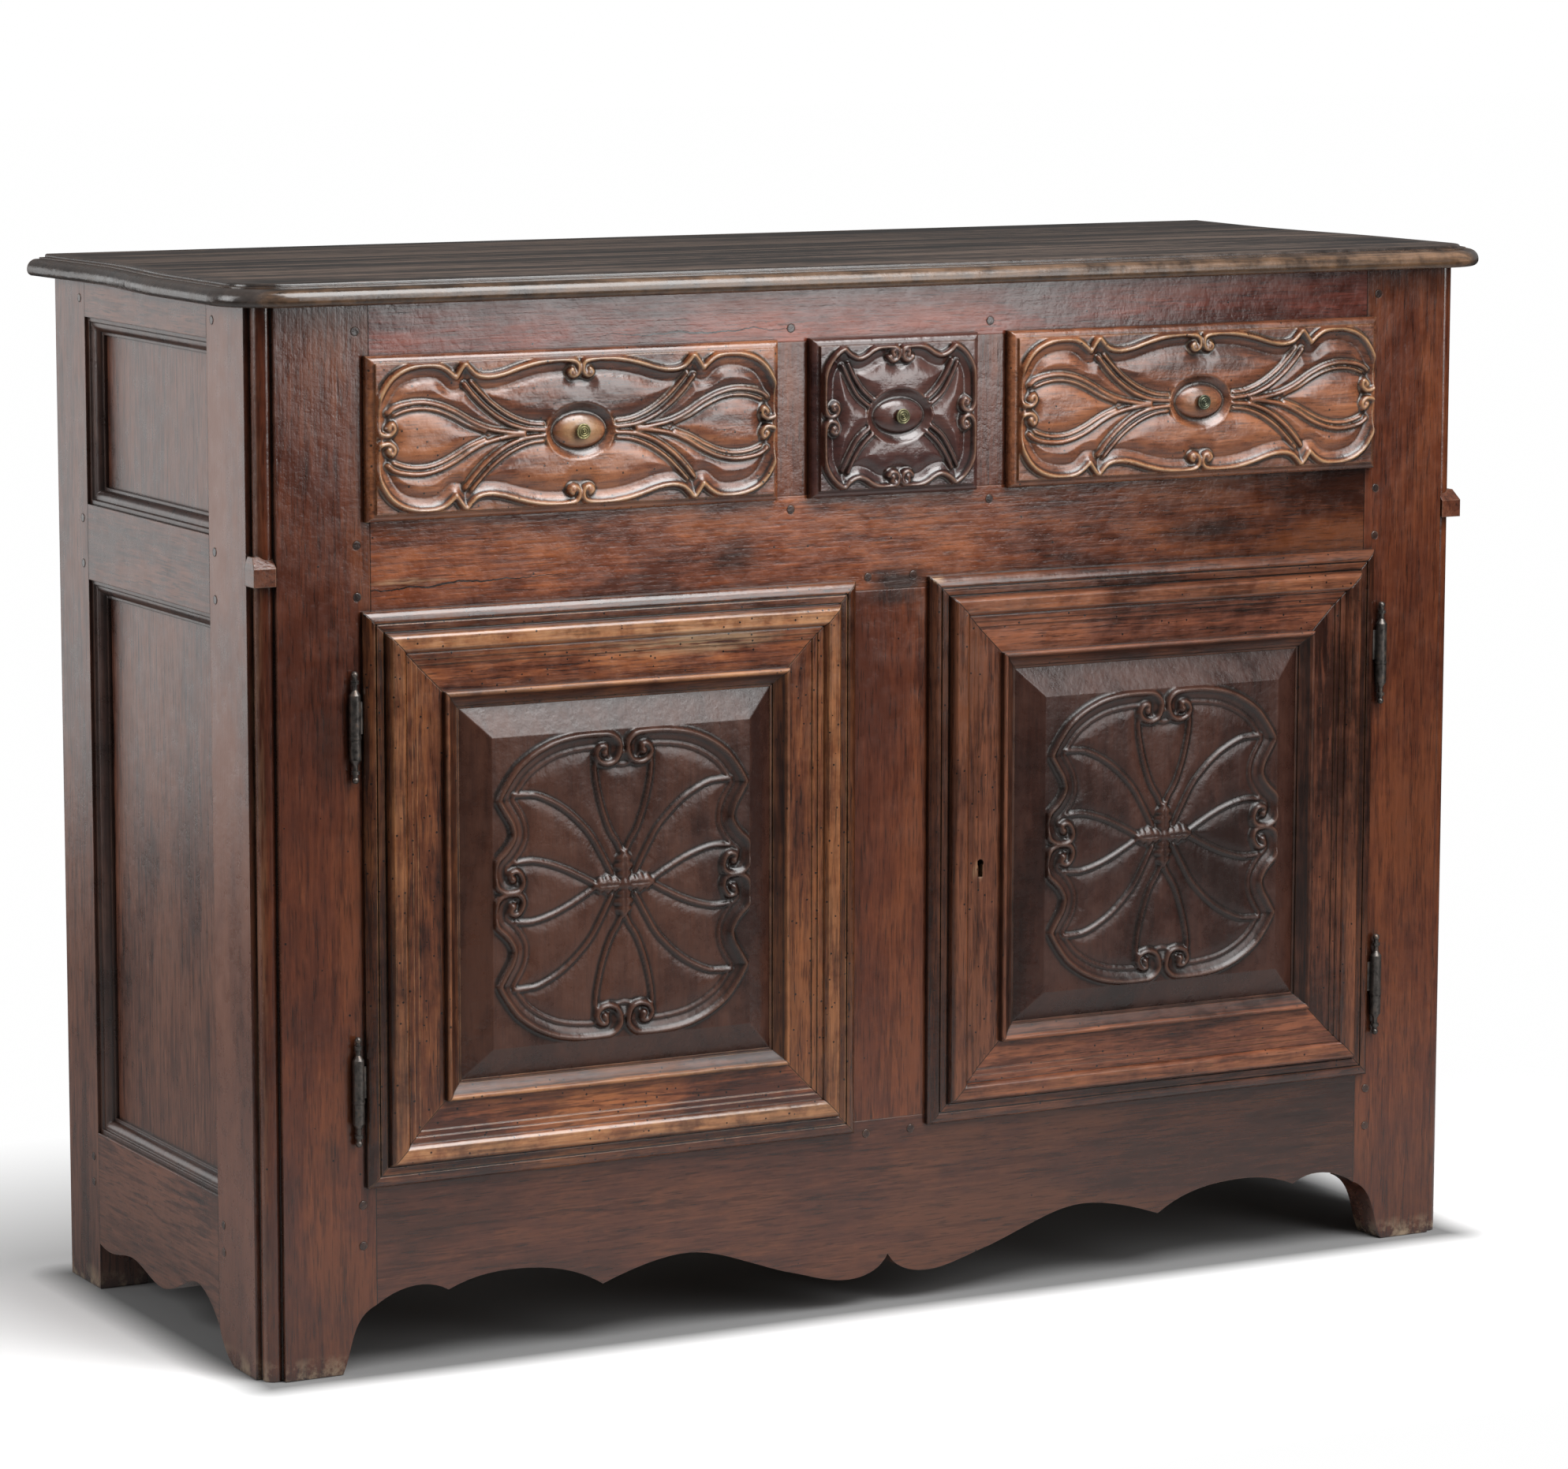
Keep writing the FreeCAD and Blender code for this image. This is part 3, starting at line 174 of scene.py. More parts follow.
    def split(self, x, z, reach, slope):
        """A drying crack along the front, widest in its middle, in millimetres."""
        off_x, off_z = self.minus(self.at("X"), x * MM), self.minus(self.at("Z"), z * MM)
        wander = self.times(self.minus(self.cloud(self.place((1, 0, 0)), 16.0, 5.0, 0.6), 0.5), 0.02)
        off = self.absolute(self.minus(self.minus(off_z, wander), self.times(off_x, slope)))
        width = self.span(self.absolute(off_x), 0.0, reach * MM, 0.0011, 0.0)
        return self.math("LESS_THAN", off, width)


TONE_STOPS = (0.36, 0.47, 0.60)  # where the dark, middle and light tones of the grain lie
FIBRE_RUN = 0.07                 # fibres are drawn out this much along the grain
PORE = (0.012, 0.006, 0.004)
GRAIN_LINE = (0.34, 0.27, 0.25)
BLOT = (0.016, 0.007, 0.005)
SEAM = (0.008, 0.005, 0.004)
JOINT = (0.008, 0.004, 0.003)
PAINTED_NOOK_SHADE = (0.010, 0.005, 0.004)
GRIME_AND_SHADE = (0.007, 0.004, 0.003)
BORE = (0.006, 0.004, 0.003)
STAIN_AND_SHADOW = (0.012, 0.008, 0.007)
RUBBED_BARE_AND_GLINT = (0.44, 0.28, 0.16)
SCUFFED_FOOT = (0.34, 0.25, 0.16)
GREYED = ((0.030, 0.023, 0.020), (0.062, 0.048, 0.042))
DUST = (0.30, 0.27, 0.24)


def wood(name, grain, dark, mid, light, worn_and_lit, wear=0.5, blots=0.5, hair=1.0, run=0.34, coarse=11.0,
         rough=(0.13, 0.24), gloss=0.75, carving=False, crest=None, crest_amount=0.0, holes=0.0, dust=0.0,
         splits=(), stains_and_shadows=(), rubs_and_glints=(), dull_top=0.0, grey_ends=0.0, right_end_shade=1.0, joints=None, mitre=None,
         hollow=None, planks=None, flank=None, feet=False):
    """Old waxed wood with its grain along one axis.

    dark, mid and light are the tones of its grain, and worn_and_lit is the bare wood on edges, crests and
    carving; on the door rails' crests it is partly a painted highlight.
    blots and hair are the strength of its dark patches and fibres; run and coarse, the scale of its figure.
    crest is how far proud of the front, in metres, a moulding starts to take the worn_and_lit colour and
    takes it fully.
    splits, stains_and_shadows and rubs_and_glints are cracks, dark patches (stains and painted shadows) and
    pale patches (rubbed bare wood and a painted glint) on the front.
    right_end_shade is the tone at the right-hand end, painted shade where the light falls off, and flank the
    tones of the faces that look sideways.
    joints is the axis and the ends of a rail, and mitre is the middle and lead of a mitred frame.
    hollow is how far out the frame's dark line is, and planks is the axis, start and width of boards side by
    side. All of these are in millimetres.
    """
    f = Finish(name)
    along = "xyz".index(grain)
    broad, fine = [1.0, 1.0, 1.0], [1.0, 1.0, 1.0]
    broad[along], fine[along] = run, FIBRE_RUN
    plank, fibre, whole = f.place(broad), f.place(fine), f.place()
    if mitre:
        past, outward = f.mitred(*mitre)
        upright = f.math("GREATER_THAN", past, 0.0)
        plank = f.turned(upright, plank, f.place(broad[::-1], (3.0, 0.0, 0.0)))
        fibre = f.turned(upright, fibre, f.place(fine[::-1]))
    if planks:
        count, chance = f.board(*planks)
        plank = f.vector("ADD", plank, f.times(chance, 9.0))

    # Grain
    clouds = f.cloud(plank, coarse, 6.0, 0.60, 0.5)
    fibres = f.cloud(fibre, 260.0, 4.0, 0.6, 0.3)
    mottle = f.cloud(whole, 48.0, 5.0, 0.66)
    figure = f.plus(clouds, f.times(f.minus(fibres, 0.5), 0.24 * hair))
    figure = f.plus(figure, f.times(f.minus(mottle, 0.5), 0.22))
    colour = f.ramp(figure, TONE_STOPS, (dark, mid, light))
    colour = f.tint(colour, f.span(fibres, 0.3, 0.7, 1 - 0.18 * hair, 1 + 0.18 * hair))
    pores = f.cloud(fibre, 620.0, 2.0, 0.5)
    colour = f.blend(f.span(pores, 0.57, 0.68, 0.0, 0.5 * hair), colour, PORE)
    lines = f.span(f.cloud(fibre, 170.0, 4.0, 0.62, 0.2), 0.55, 0.61, 0.0, (0.25 if carving else 0.5) * hair)
    colour = f.blend(lines, colour, GRAIN_LINE, "MULTIPLY")
    spots = f.cloud(plank, 21.0, 6.0, 0.62, 0.9)
    colour = f.blend(f.span(spots, 0.60, 0.69, 0.0, blots), colour, BLOT)

    # Faces, boards and lengths that differ in tone
    true_normal = f.add("NewGeometry").outputs["True Normal"]
    if flank:
        sideways = f.span(f.absolute(f.part(true_normal, "X")), 0.75, 0.95)
        colour = f.blend(sideways, colour, f.ramp(figure, TONE_STOPS, flank))
    if planks:
        colour = f.tint(colour, f.span(chance, 0.0, 1.0, 0.74, 1.2))
        seam = f.times(f.math("PINGPONG", count, 0.5), planks[2] * MM)
        colour = f.blend(f.span(seam, 0.0005, 0.0012, 0.9, 0.0), colour, SEAM)
    if mitre:
        # painted light: the rails are painted lighter than the uprights, for the light they catch from above
        colour = f.tint(colour, f.span(upright, 0.0, 1.0, 1.85, 1.1))
        colour = f.tint(colour, f.span(outward, 0.2465, 0.2490, 1.0, 0.55))
    # inward of the hollow the beading is darker, and a painted shadow line runs along the hollow
    if hollow:
        colour = f.tint(colour, f.span(outward, hollow * MM - 0.001, hollow * MM, 0.5, 1.0))
        line = f.span(f.absolute(f.minus(outward, hollow * MM)), 0.0004, 0.0012, 0.75, 0.0)
        colour = f.blend(line, colour, PAINTED_NOOK_SHADE)
    # painted shade: darker towards the right-hand end, where the light falls off
    if right_end_shade != 1.0:
        colour = f.tint(colour, f.span(f.at("X"), -0.1, 0.45, 1.0, right_end_shade))
    if grey_ends:
        end = f.span(f.absolute(f.at("X")), 0.645, 0.662, 0.0, grey_ends)
        colour = f.blend(end, colour, f.ramp(mottle, (0.30, 0.70), GREYED))

    # Worn crests, carving and edges, with painted highlights on the door rails' crests, and painted shade in
    # corners
    if crest:
        proud = f.height_off_front(*crest)
        if mitre:
            proud = f.times(proud, f.span(upright, 0.0, 1.0, 1.0, 0.22))
        patchy = f.span(f.plus(f.times(clouds, 0.6), f.times(mottle, 0.4)), 0.38, 0.56, 0.45, 1.0)
        patchy = f.times(patchy, f.span(fibres, 0.38, 0.60, 0.45, 1.0))
        patchy = f.times(patchy, f.span(mottle, 0.36, 0.52, 0.55, 1.0))
        # worn crests, which on the door rails are partly a painted highlight
        colour = f.blend(f.times(f.times(proud, patchy), crest_amount), colour, worn_and_lit)
    if carving:
        rubbed = f.times(f.carved("rubbed"), f.span(mottle, 0.32, 0.58, 0.4, 1.0))
        colour = f.blend(f.times(rubbed, wear), colour, worn_and_lit)
        # dirt and painted shade in the carving's hollows
        colour = f.blend(f.times(f.carved("grime_and_shade"), 0.93), colour, GRIME_AND_SHADE)
    eased = f.add("Bevel", {"Radius": 0.0016}, samples=4).outputs["Normal"]
    flat = f.vector("DOT_PRODUCT", eased, true_normal, "Value")
    edge = f.times(f.span(flat, 0.995, 0.86, 0.0, wear), f.span(mottle, 0.35, 0.62, 0.2, 1.0))
    colour = f.blend(edge, colour, worn_and_lit)
    # painted shade: darker where ambient occlusion finds corners and crevices
    nook = f.add("AmbientOcclusion", {"Distance": 0.016}, samples=6).outputs["AO"]
    colour = f.blend(f.span(nook, 0.3, 0.92, 0.92, 0.0), colour, PAINTED_NOOK_SHADE)
    relief = f.plus(f.times(fibres, 0.4), f.times(mottle, 1.3))
    if carving:
        relief = f.plus(relief, f.times(f.cloud(whole, 120.0, 2.0, 0.5), 1.4))

    # Joints, feet and marks
    if joints:
        axis, low, high = joints
        spot = f.at(axis)
        inward = f.math("MINIMUM", f.minus(spot, low * MM), f.minus(high * MM, spot))
        colour = f.blend(f.span(inward, 0.0004, 0.0014, 0.9, 0.0), colour, JOINT)
    if feet:
        above_floor = f.at("Z")
        colour = f.tint(colour, f.span(above_floor, 0.0, 0.16, 0.62, 1.0))
        scuffed = f.times(f.span(above_floor, 0.004, 0.022, 1.0, 0.0), f.span(mottle, 0.46, 0.62))
        colour = f.blend(f.times(scuffed, 0.7), colour, SCUFFED_FOOT)
    if mitre:
        colour = f.blend(f.span(f.absolute(past), 0.0003, 0.0008, 0.85, 0.0), colour, JOINT)
    # pale patches: rubbed bare wood, and a painted glint
    for pale_patch in rubs_and_glints:
        colour = f.blend(f.times(f.patch(*pale_patch), f.span(fibres, 0.40, 0.58)), colour, RUBBED_BARE_AND_GLINT)
    # dark patches: stains, and painted shadows beside the hinges
    for patch in stains_and_shadows:
        colour = f.blend(f.patch(*patch), colour, STAIN_AND_SHADOW)
    for split in splits:
        open_split = f.split(*split)
        colour = f.blend(f.times(open_split, 0.92), colour, GRIME_AND_SHADE)
        relief = f.minus(relief, f.times(open_split, 2.0))
    if holes:
        cells = f.add("TexVoronoi", {"Vector": whole, "Scale": 110.0})
        pick = f.add("SeparateColor", {"Color": cells.outputs["Color"]}).outputs["Red"]
        bored = f.times(f.math("LESS_THAN", cells.outputs["Distance"], 0.12),
                        f.math("LESS_THAN", pick, holes))
        colour = f.blend(f.times(bored, 0.9), colour, BORE)
    if dust:
        colour = f.blend(f.span(mottle, 0.4, 0.75, 0.0, dust), colour, DUST)
    f.give("Base Color", colour)

    # Sheen and relief
    f.give("Specular IOR Level", gloss)
    sheen = f.span(f.plus(f.times(clouds, 0.6), mottle), 0.62, 0.98, *rough)
    if dull_top:
        facing = f.part(true_normal, "Z")
        sheen = f.plus(sheen, f.span(facing, 0.8, 0.98, 0.0, dull_top))
        f.give("Specular IOR Level", f.span(facing, 0.8, 0.98, gloss, 0.5 * gloss))
    if flank:
        sheen = f.plus(sheen, f.times(sideways, 0.11))
    f.give("Roughness", sheen)
    f.bump(0.3, 0.0009, relief, eased)
    return f.material


def forged_iron(name):
    f = Finish(name)
    rust = f.cloud(f.place(), 180.0, 5.0, 0.65)
    f.give("Base Color", f.ramp(rust, (0.3, 0.55, 0.72),
                                ((0.055, 0.050, 0.047), (0.13, 0.116, 0.106), (0.19, 0.13, 0.095))))
    f.give("Roughness", f.span(rust, 0.3, 0.7, 0.28, 0.50))
    f.give("Metallic", 0.9)
    f.bump(0.4, 0.0005, rust)
    return f.material


def old_brass(name, dull, bright):
    f = Finish(name)
    tarnish = f.cloud(f.place(), 320.0, 5.0, 0.65)
    colour = f.ramp(tarnish, (0.36, 0.64), (dull, bright))
    nook = f.add("AmbientOcclusion", {"Distance": 0.0025}, samples=6).outputs["AO"]
    f.give("Base Color", f.blend(f.span(nook, 0.3, 0.85, 0.9, 0.0), colour, (0.020, 0.024, 0.016)))
    f.give("Roughness", f.span(tarnish, 0.3, 0.7, 0.55, 0.34))
    f.give("Metallic", 0.85)
    f.bump(0.3, 0.0003, tarnish)
    return f.material


FRONT_JOINTS = ("X", -548, 548)
SIDE_JOINTS = ("Y", -130, 178)
SIDE = ((0.058, 0.020, 0.012), (0.115, 0.041, 0.024), (0.165, 0.063, 0.036))
POST_FLANK = ((0.080, 0.029, 0.018), (0.150, 0.056, 0.034), (0.215, 0.085, 0.050))
front_upright = wood("front_upright", "z", (0.076, 0.021, 0.011), (0.106, 0.028, 0.012),
                     (0.150, 0.042, 0.015), (0.20, 0.09, 0.045), blots=0.15, holes=0.03,
                     flank=POST_FLANK, feet=True, rubs_and_glints=((-655, 500, 5, 560, 0.14),),
                     # the two patches at x -592 beside the hinges are stain and painted hinge shadow; the
                     # long faint one darkens the right-hand post
                     stains_and_shadows=((-592, 590, 14, 50, 0.5), (-592, 210, 12, 36, 0.35), (0, 700, 45, 14, 0.7),
                              (610, 480, 60, 480, 0.15)))
top_rail_wood = wood("top_rail_wood", "x", (0.115, 0.027, 0.016), (0.240, 0.053, 0.031),
                     (0.330, 0.080, 0.042), (0.24, 0.11, 0.06), blots=0.22, holes=0.05,
                     splits=((-210, 962, 120, 0.0),), right_end_shade=0.62, joints=FRONT_JOINTS)
middle_rail_wood = wood("middle_rail_wood", "x", (0.085, 0.023, 0.011), (0.182, 0.048, 0.018),
                        (0.335, 0.097, 0.030), (0.24, 0.11, 0.05), blots=0.28, holes=0.05, right_end_shade=0.37,
                        joints=FRONT_JOINTS, splits=((-470, 738, 150, 0.03),),
                        # the pale streak at x -515 is a painted glint in the crack
                        rubs_and_glints=((-515, 742, 50, 5, 0.7),),
                        stains_and_shadows=((10, 715, 60, 20, 0.9), (360, 745, 60, 18, 0.7), (-170, 750, 40, 26, 0.6)))
peg_wood = wood("peg_wood", "y", (0.014, 0.008, 0.007), (0.034, 0.016, 0.012), (0.06, 0.028, 0.018),
                (0.22, 0.14, 0.10), wear=0.8)
block_wood = wood("block_wood", "y", (0.050, 0.018, 0.011), (0.100, 0.032, 0.017), (0.150, 0.050, 0.024),
                  (0.38, 0.24, 0.17), wear=0.95)
apron_wood = wood("apron_wood", "x", (0.058, 0.019, 0.011), (0.086, 0.027, 0.015), (0.120, 0.040, 0.019),
                  (0.20, 0.10, 0.055), blots=0.25, holes=0.03, right_end_shade=0.5, joints=FRONT_JOINTS)
FRAME = dict(grain="x", crest=(0.0145, 0.0195), blots=0.3, hair=1.3)
MITRE_LEAD = -12
LEFT_FRAME = dict(FRAME, dark=(0.046, 0.014, 0.008), mid=(0.112, 0.034, 0.014), light=(0.188, 0.064, 0.022),
                  worn_and_lit=(0.54, 0.275, 0.125), wear=0.75, crest_amount=0.95, holes=1.0,
                  mitre=(-DOOR_X, DOOR_Z, MITRE_LEAD), rubs_and_glints=((-225, 672, 120, 16, 1.0),))
RIGHT_FRAME = dict(FRAME, dark=(0.030, 0.010, 0.006), mid=(0.078, 0.025, 0.013), light=(0.132, 0.044, 0.020),
                   worn_and_lit=(0.23, 0.098, 0.038), crest_amount=0.35, holes=0.4,
                   mitre=(DOOR_X, DOOR_Z, MITRE_LEAD),
                   rubs_and_glints=((48, 715, 10, 5, 1.0), (93, 426.0, 9, 13, 0.55)))
SATIN = dict(rough=(0.30, 0.44), gloss=0.5, hollow=187)
left_door_frame = wood("left_door_frame", **LEFT_FRAME)
left_door_beading = wood("left_door_beading", **LEFT_FRAME, **SATIN)
right_door_frame = wood("right_door_frame", **RIGHT_FRAME)
right_door_beading = wood("right_door_beading", **RIGHT_FRAME, **SATIN)
PANEL = dict(grain="z", worn_and_lit=(0.13, 0.062, 0.036), wear=0.35, blots=0.2, carving=True, rough=(0.22, 0.36),
             hair=0.4, gloss=0.55)
left_panel_wood = wood("left_panel_wood", dark=(0.027, 0.010, 0.007), mid=(0.050, 0.018, 0.011),
                       light=(0.082, 0.030, 0.017), **PANEL)
right_panel_wood = wood("right_panel_wood", dark=(0.018, 0.007, 0.005), mid=(0.034, 0.012, 0.008),
                        light=(0.058, 0.021, 0.013), **PANEL)
left_drawer_wood = wood("left_drawer_wood", "x", (0.075, 0.023, 0.012), (0.185, 0.057, 0.024),
                        (0.340, 0.122, 0.048), (0.44, 0.25, 0.12), wear=0.85, carving=True, holes=0.8,
                        blots=0.3, rough=(0.21, 0.33), gloss=1.0)
centre_drawer_wood = wood("centre_drawer_wood", "x", (0.026, 0.010, 0.010), (0.058, 0.022, 0.019),
                          (0.092, 0.036, 0.027), (0.22, 0.11, 0.06), wear=0.6, blots=0.2, carving=True,
                          rough=(0.15, 0.26), hair=0.5, gloss=0.9)
right_drawer_wood = wood("right_drawer_wood", "x", (0.076, 0.025, 0.013), (0.190, 0.063, 0.028),
                         (0.315, 0.115, 0.049), (0.40, 0.22, 0.10), wear=0.8, carving=True, holes=0.4,
                         blots=0.3, rough=(0.22, 0.34), gloss=0.9)
SIDE_BOARD = dict(worn_and_lit=(0.20, 0.12, 0.085), blots=0.12, feet=True, rough=(0.26, 0.34), hair=1.4)
side_upright = wood("side_upright", "z", *SIDE, **SIDE_BOARD)
side_cross = wood("side_cross", "y", *SIDE, **SIDE_BOARD, joints=SIDE_JOINTS)
side_beading = wood("side_beading", "z", (0.020, 0.009, 0.007), (0.048, 0.020, 0.014), (0.080, 0.034, 0.022),
                    (0.15, 0.095, 0.07), blots=0.12, rough=(0.26, 0.34))
top_wood = wood("top_wood", "x", (0.005, 0.004, 0.0035), (0.022, 0.016, 0.0135), (0.105, 0.074, 0.058),
                (0.30, 0.155, 0.072), wear=0.8, blots=0.6, rough=(0.16, 0.30), holes=0.04, gloss=0.7,
                dull_top=0.38, crest=(0.017, 0.024), crest_amount=0.45, grey_ends=0.8, run=0.05, coarse=27.0,
                planks=("Y", -268, 280))
BARE = dict(dark=(0.095, 0.052, 0.030), mid=(0.165, 0.094, 0.054), light=(0.225, 0.134, 0.078),
            worn_and_lit=(0.28, 0.18, 0.115), blots=0.12, rough=(0.55, 0.75), gloss=0.2, dust=0.1)
inner_x = wood("inner_x", "x", **BARE)
inner_y = wood("inner_y", "y", **BARE)
inner_z = wood("inner_z", "z", **BARE)
back_wood = wood("back_wood", "z", **BARE, planks=("X", -612, 136))
iron = forged_iron("black_iron")
left_brass = old_brass("left_knob_brass", (0.16, 0.15, 0.07), (0.46, 0.40, 0.20))
centre_brass = old_brass("centre_knob_brass", (0.10, 0.10, 0.055), (0.30, 0.27, 0.15))
right_brass = old_brass("right_knob_brass", (0.055, 0.065, 0.045), (0.17, 0.175, 0.12))

FINISHES = {
    front_upright: ("front_left_post", "front_right_post", "centre_stile", "drawer_dividers"),
    top_rail_wood: ("front_top_rail",),
    middle_rail_wood: ("front_middle_rail",),
    peg_wood: ("frame_pegs",),
    block_wood: ("corner_blocks",),
    apron_wood: ("front_apron_rail",),
    left_door_frame: ("left_door_hinge_stile", "left_door_meeting_stile", "left_door_rails"),
    left_door_beading: ("left_door_panel_moulding",),
    right_door_frame: ("right_door_hinge_stile", "right_door_lock_stile", "right_door_rails"),
    right_door_beading: ("right_door_panel_moulding",),
    side_upright: ("back_left_post", "back_right_post", "left_side_panels", "right_side_panels"),
    side_beading: ("left_side_panel_mouldings", "right_side_panel_mouldings"),
    side_cross: ("left_side_top_rail", "left_side_middle_rail", "left_side_apron_rail", "right_side_top_rail",
                 "right_side_middle_rail", "right_side_apron_rail"),
    top_wood: ("top_boards",),
    inner_x: ("back_top_rail", "back_middle_rail", "back_bottom_rail", "floor_boards", "shelf_boards",
              "left_drawer_bottom", "centre_drawer_bottom", "right_drawer_bottom"),
    inner_y: ("shelf_bearers", "drawer_runners", "drawer_guides", "left_drawer_box", "centre_drawer_box",
              "right_drawer_box"),
    inner_z: ("left_door_turn_button",),
    back_wood: ("back_boards",),
    iron: ("frame_hinge_pins", "left_door_hinge_knuckles", "right_door_hinge_knuckles",
           "right_door_lock_case", "right_door_lock_bolt"),
    left_panel_wood: ("left_door_panel",),
    right_panel_wood: ("right_door_panel",),
    left_drawer_wood: ("left_drawer_front",),
    centre_drawer_wood: ("centre_drawer_front",),
    right_drawer_wood: ("right_drawer_front",),
    left_brass: ("left_drawer_knob",),
    centre_brass: ("centre_drawer_knob",),
    right_brass: ("right_drawer_knob",),
}
for finish, names in FINISHES.items():
    for name in names:
        for place in nodes[name].material_slots:
            place.material = finish


# Carving: patterns are drawn in millimetres from the middle of the field, one quarter at a time.

QUARTERS = ((1, 1), (-1, 1), (1, -1), (-1, -1))
REACH = 30.0  # distances from a line are needed up to here


def smooth(points, steps=7):
    """A smooth line through the points."""
    p = np.array([points[0], *points, points[-1]], float)
    t = np.linspace(0, 1, steps, endpoint=False)[:, None]
    line = [0.5 * (2 * b + (c - a) * t + (2 * a - 5 * b + 4 * c - d) * t ** 2
                   + (3 * b - a - 3 * c + d) * t ** 3)
            for a, b, c, d in zip(p[:-3], p[1:-2], p[2:-1], p[3:])]
    return np.vstack(line + [p[-1:]])


def flipped(lines):
    """The quarter's lines and their mirror images."""
    return [line * side for line in lines for side in QUARTERS]


def mirrored_ribs(ribs):
    """The quarter's ribs, smoothed, and their mirror images."""
    return flipped([smooth(rib) for rib in ribs])


def away(u, v, line):
    """How far each point is from the line, up to REACH."""
    best = np.full(u.shape, REACH * REACH)
    near = ((u > line[:, 0].min() - REACH) & (u < line[:, 0].max() + REACH)
            & (v > line[:, 1].min() - REACH) & (v < line[:, 1].max() + REACH))
    x, y, d2 = u[near], v[near], best[near]
    for (ax, ay), (bx, by) in zip(line[:-1], line[1:]):
        ex, ey = bx - ax, by - ay
        t = np.clip(((x - ax) * ex + (y - ay) * ey) / max(ex * ex + ey * ey, 1e-9), 0, 1)
        d2 = np.minimum(d2, (x - ax - t * ex) ** 2 + (y - ay - t * ey) ** 2)
    best[near] = d2
    return np.sqrt(best)


def nearest(u, v, lines):
    """How far each point is from the nearest of the lines, up to REACH."""
    best = np.full(u.shape, REACH)
    for line in lines:
        best = np.minimum(best, away(u, v, line))
    return best


def inside(u, v, loop):
    """Whether each point lies within the closed loop."""
    held = np.zeros(u.shape, bool)
    for (ax, ay), (bx, by) in zip(loop, np.roll(loop, -1, 0)):
        if ay != by:
            held ^= ((ay > v) != (by > v)) & (u < (bx - ax) * (v - ay) / (by - ay) + ax)
    return held


def bead(distance, half, tall):
    """A round bead along a line."""
    return tall * np.sqrt(np.clip(1 - (distance / half) ** 2, 0, 1))


def dome(u, v, at, radii, tall):
    return tall * np.sqrt(np.clip(1 - ((u - at[0]) / radii[0]) ** 2 - ((v - at[1]) / radii[1]) ** 2, 0, 1))


def loop_of(quarter):
    """A closed outline from a line that runs from the top middle to the left middle."""
    left = np.vstack([quarter, quarter[::-1] * (1, -1)])
    return np.vstack([left, left[::-1] * (-1, 1)])


def pillow(distance, wide, tall, power):
    """A field that rises away from its edges."""
    return tall * (1 - np.exp(-(distance / wide) ** power))


def scroll_border(u, v, crest, outline, eyes, tall, cove, eye_r):
    """The raised border: a rounded crest, a hollow that runs down inside it, and the scroll eyes."""
    crest_half, eye_rise, hollow_share = 3.1, 0.4, 0.72
    rim = nearest(u, v, flipped(crest))
    held = inside(u, v, outline)
    edge = nearest(u, v, [np.vstack([outline, outline[:1]])])
    run = np.clip(edge / cove, 0, 1)
    hollow = np.where(held, hollow_share * tall * (1 - run) ** 1.5, 0)
    high = np.maximum(bead(rim, crest_half, tall), hollow)
    for eye in eyes:
        for side in QUARTERS:
            at = (eye[0] * side[0], eye[1] * side[1])
            high = np.maximum(high, dome(u, v, at, (eye_r, eye_r), tall + eye_rise))
    return high, held, edge


PANEL_TOP = [(-20, 127), (-19, 132), (-25, 132), (-29, 125), (-25, 118), (-16, 115.5), (-8, 119), (-4, 128),
             (-5, 136), (-13, 143), (-27, 144.5), (-45, 144), (-63, 141.5), (-77, 137.5), (-93, 130),
             (-109, 118.5), (-120, 105), (-127, 94), (-130, 88)]
PANEL_SIDE = [(-130, 88), (-123.5, 77), (-117, 66), (-114.5, 55), (-118, 46.5), (-124, 39), (-131.5, 32),
              (-135, 24), (-135, 15.5), (-131.5, 6), (-125, 1.5), (-117, 0.5), (-108, 3), (-105.5, 11),
              (-110.5, 20), (-118.5, 19), (-117, 13)]
PANEL_RIBS = [
    [(-29, 126), (-29.5, 108), (-26.5, 90), (-21.5, 71), (-14, 51.5), (-6, 39), (-2, 30)],
    [(-114, 92.5), (-102, 92), (-88.5, 90), (-68, 80), (-51, 67), (-35, 50), (-24, 32), (-12, 10)],
    [(-113, 28), (-96.5, 29), (-78.5, 25), (-61.5, 18.5), (-45.5, 10.5), (-31, 2.5)]]


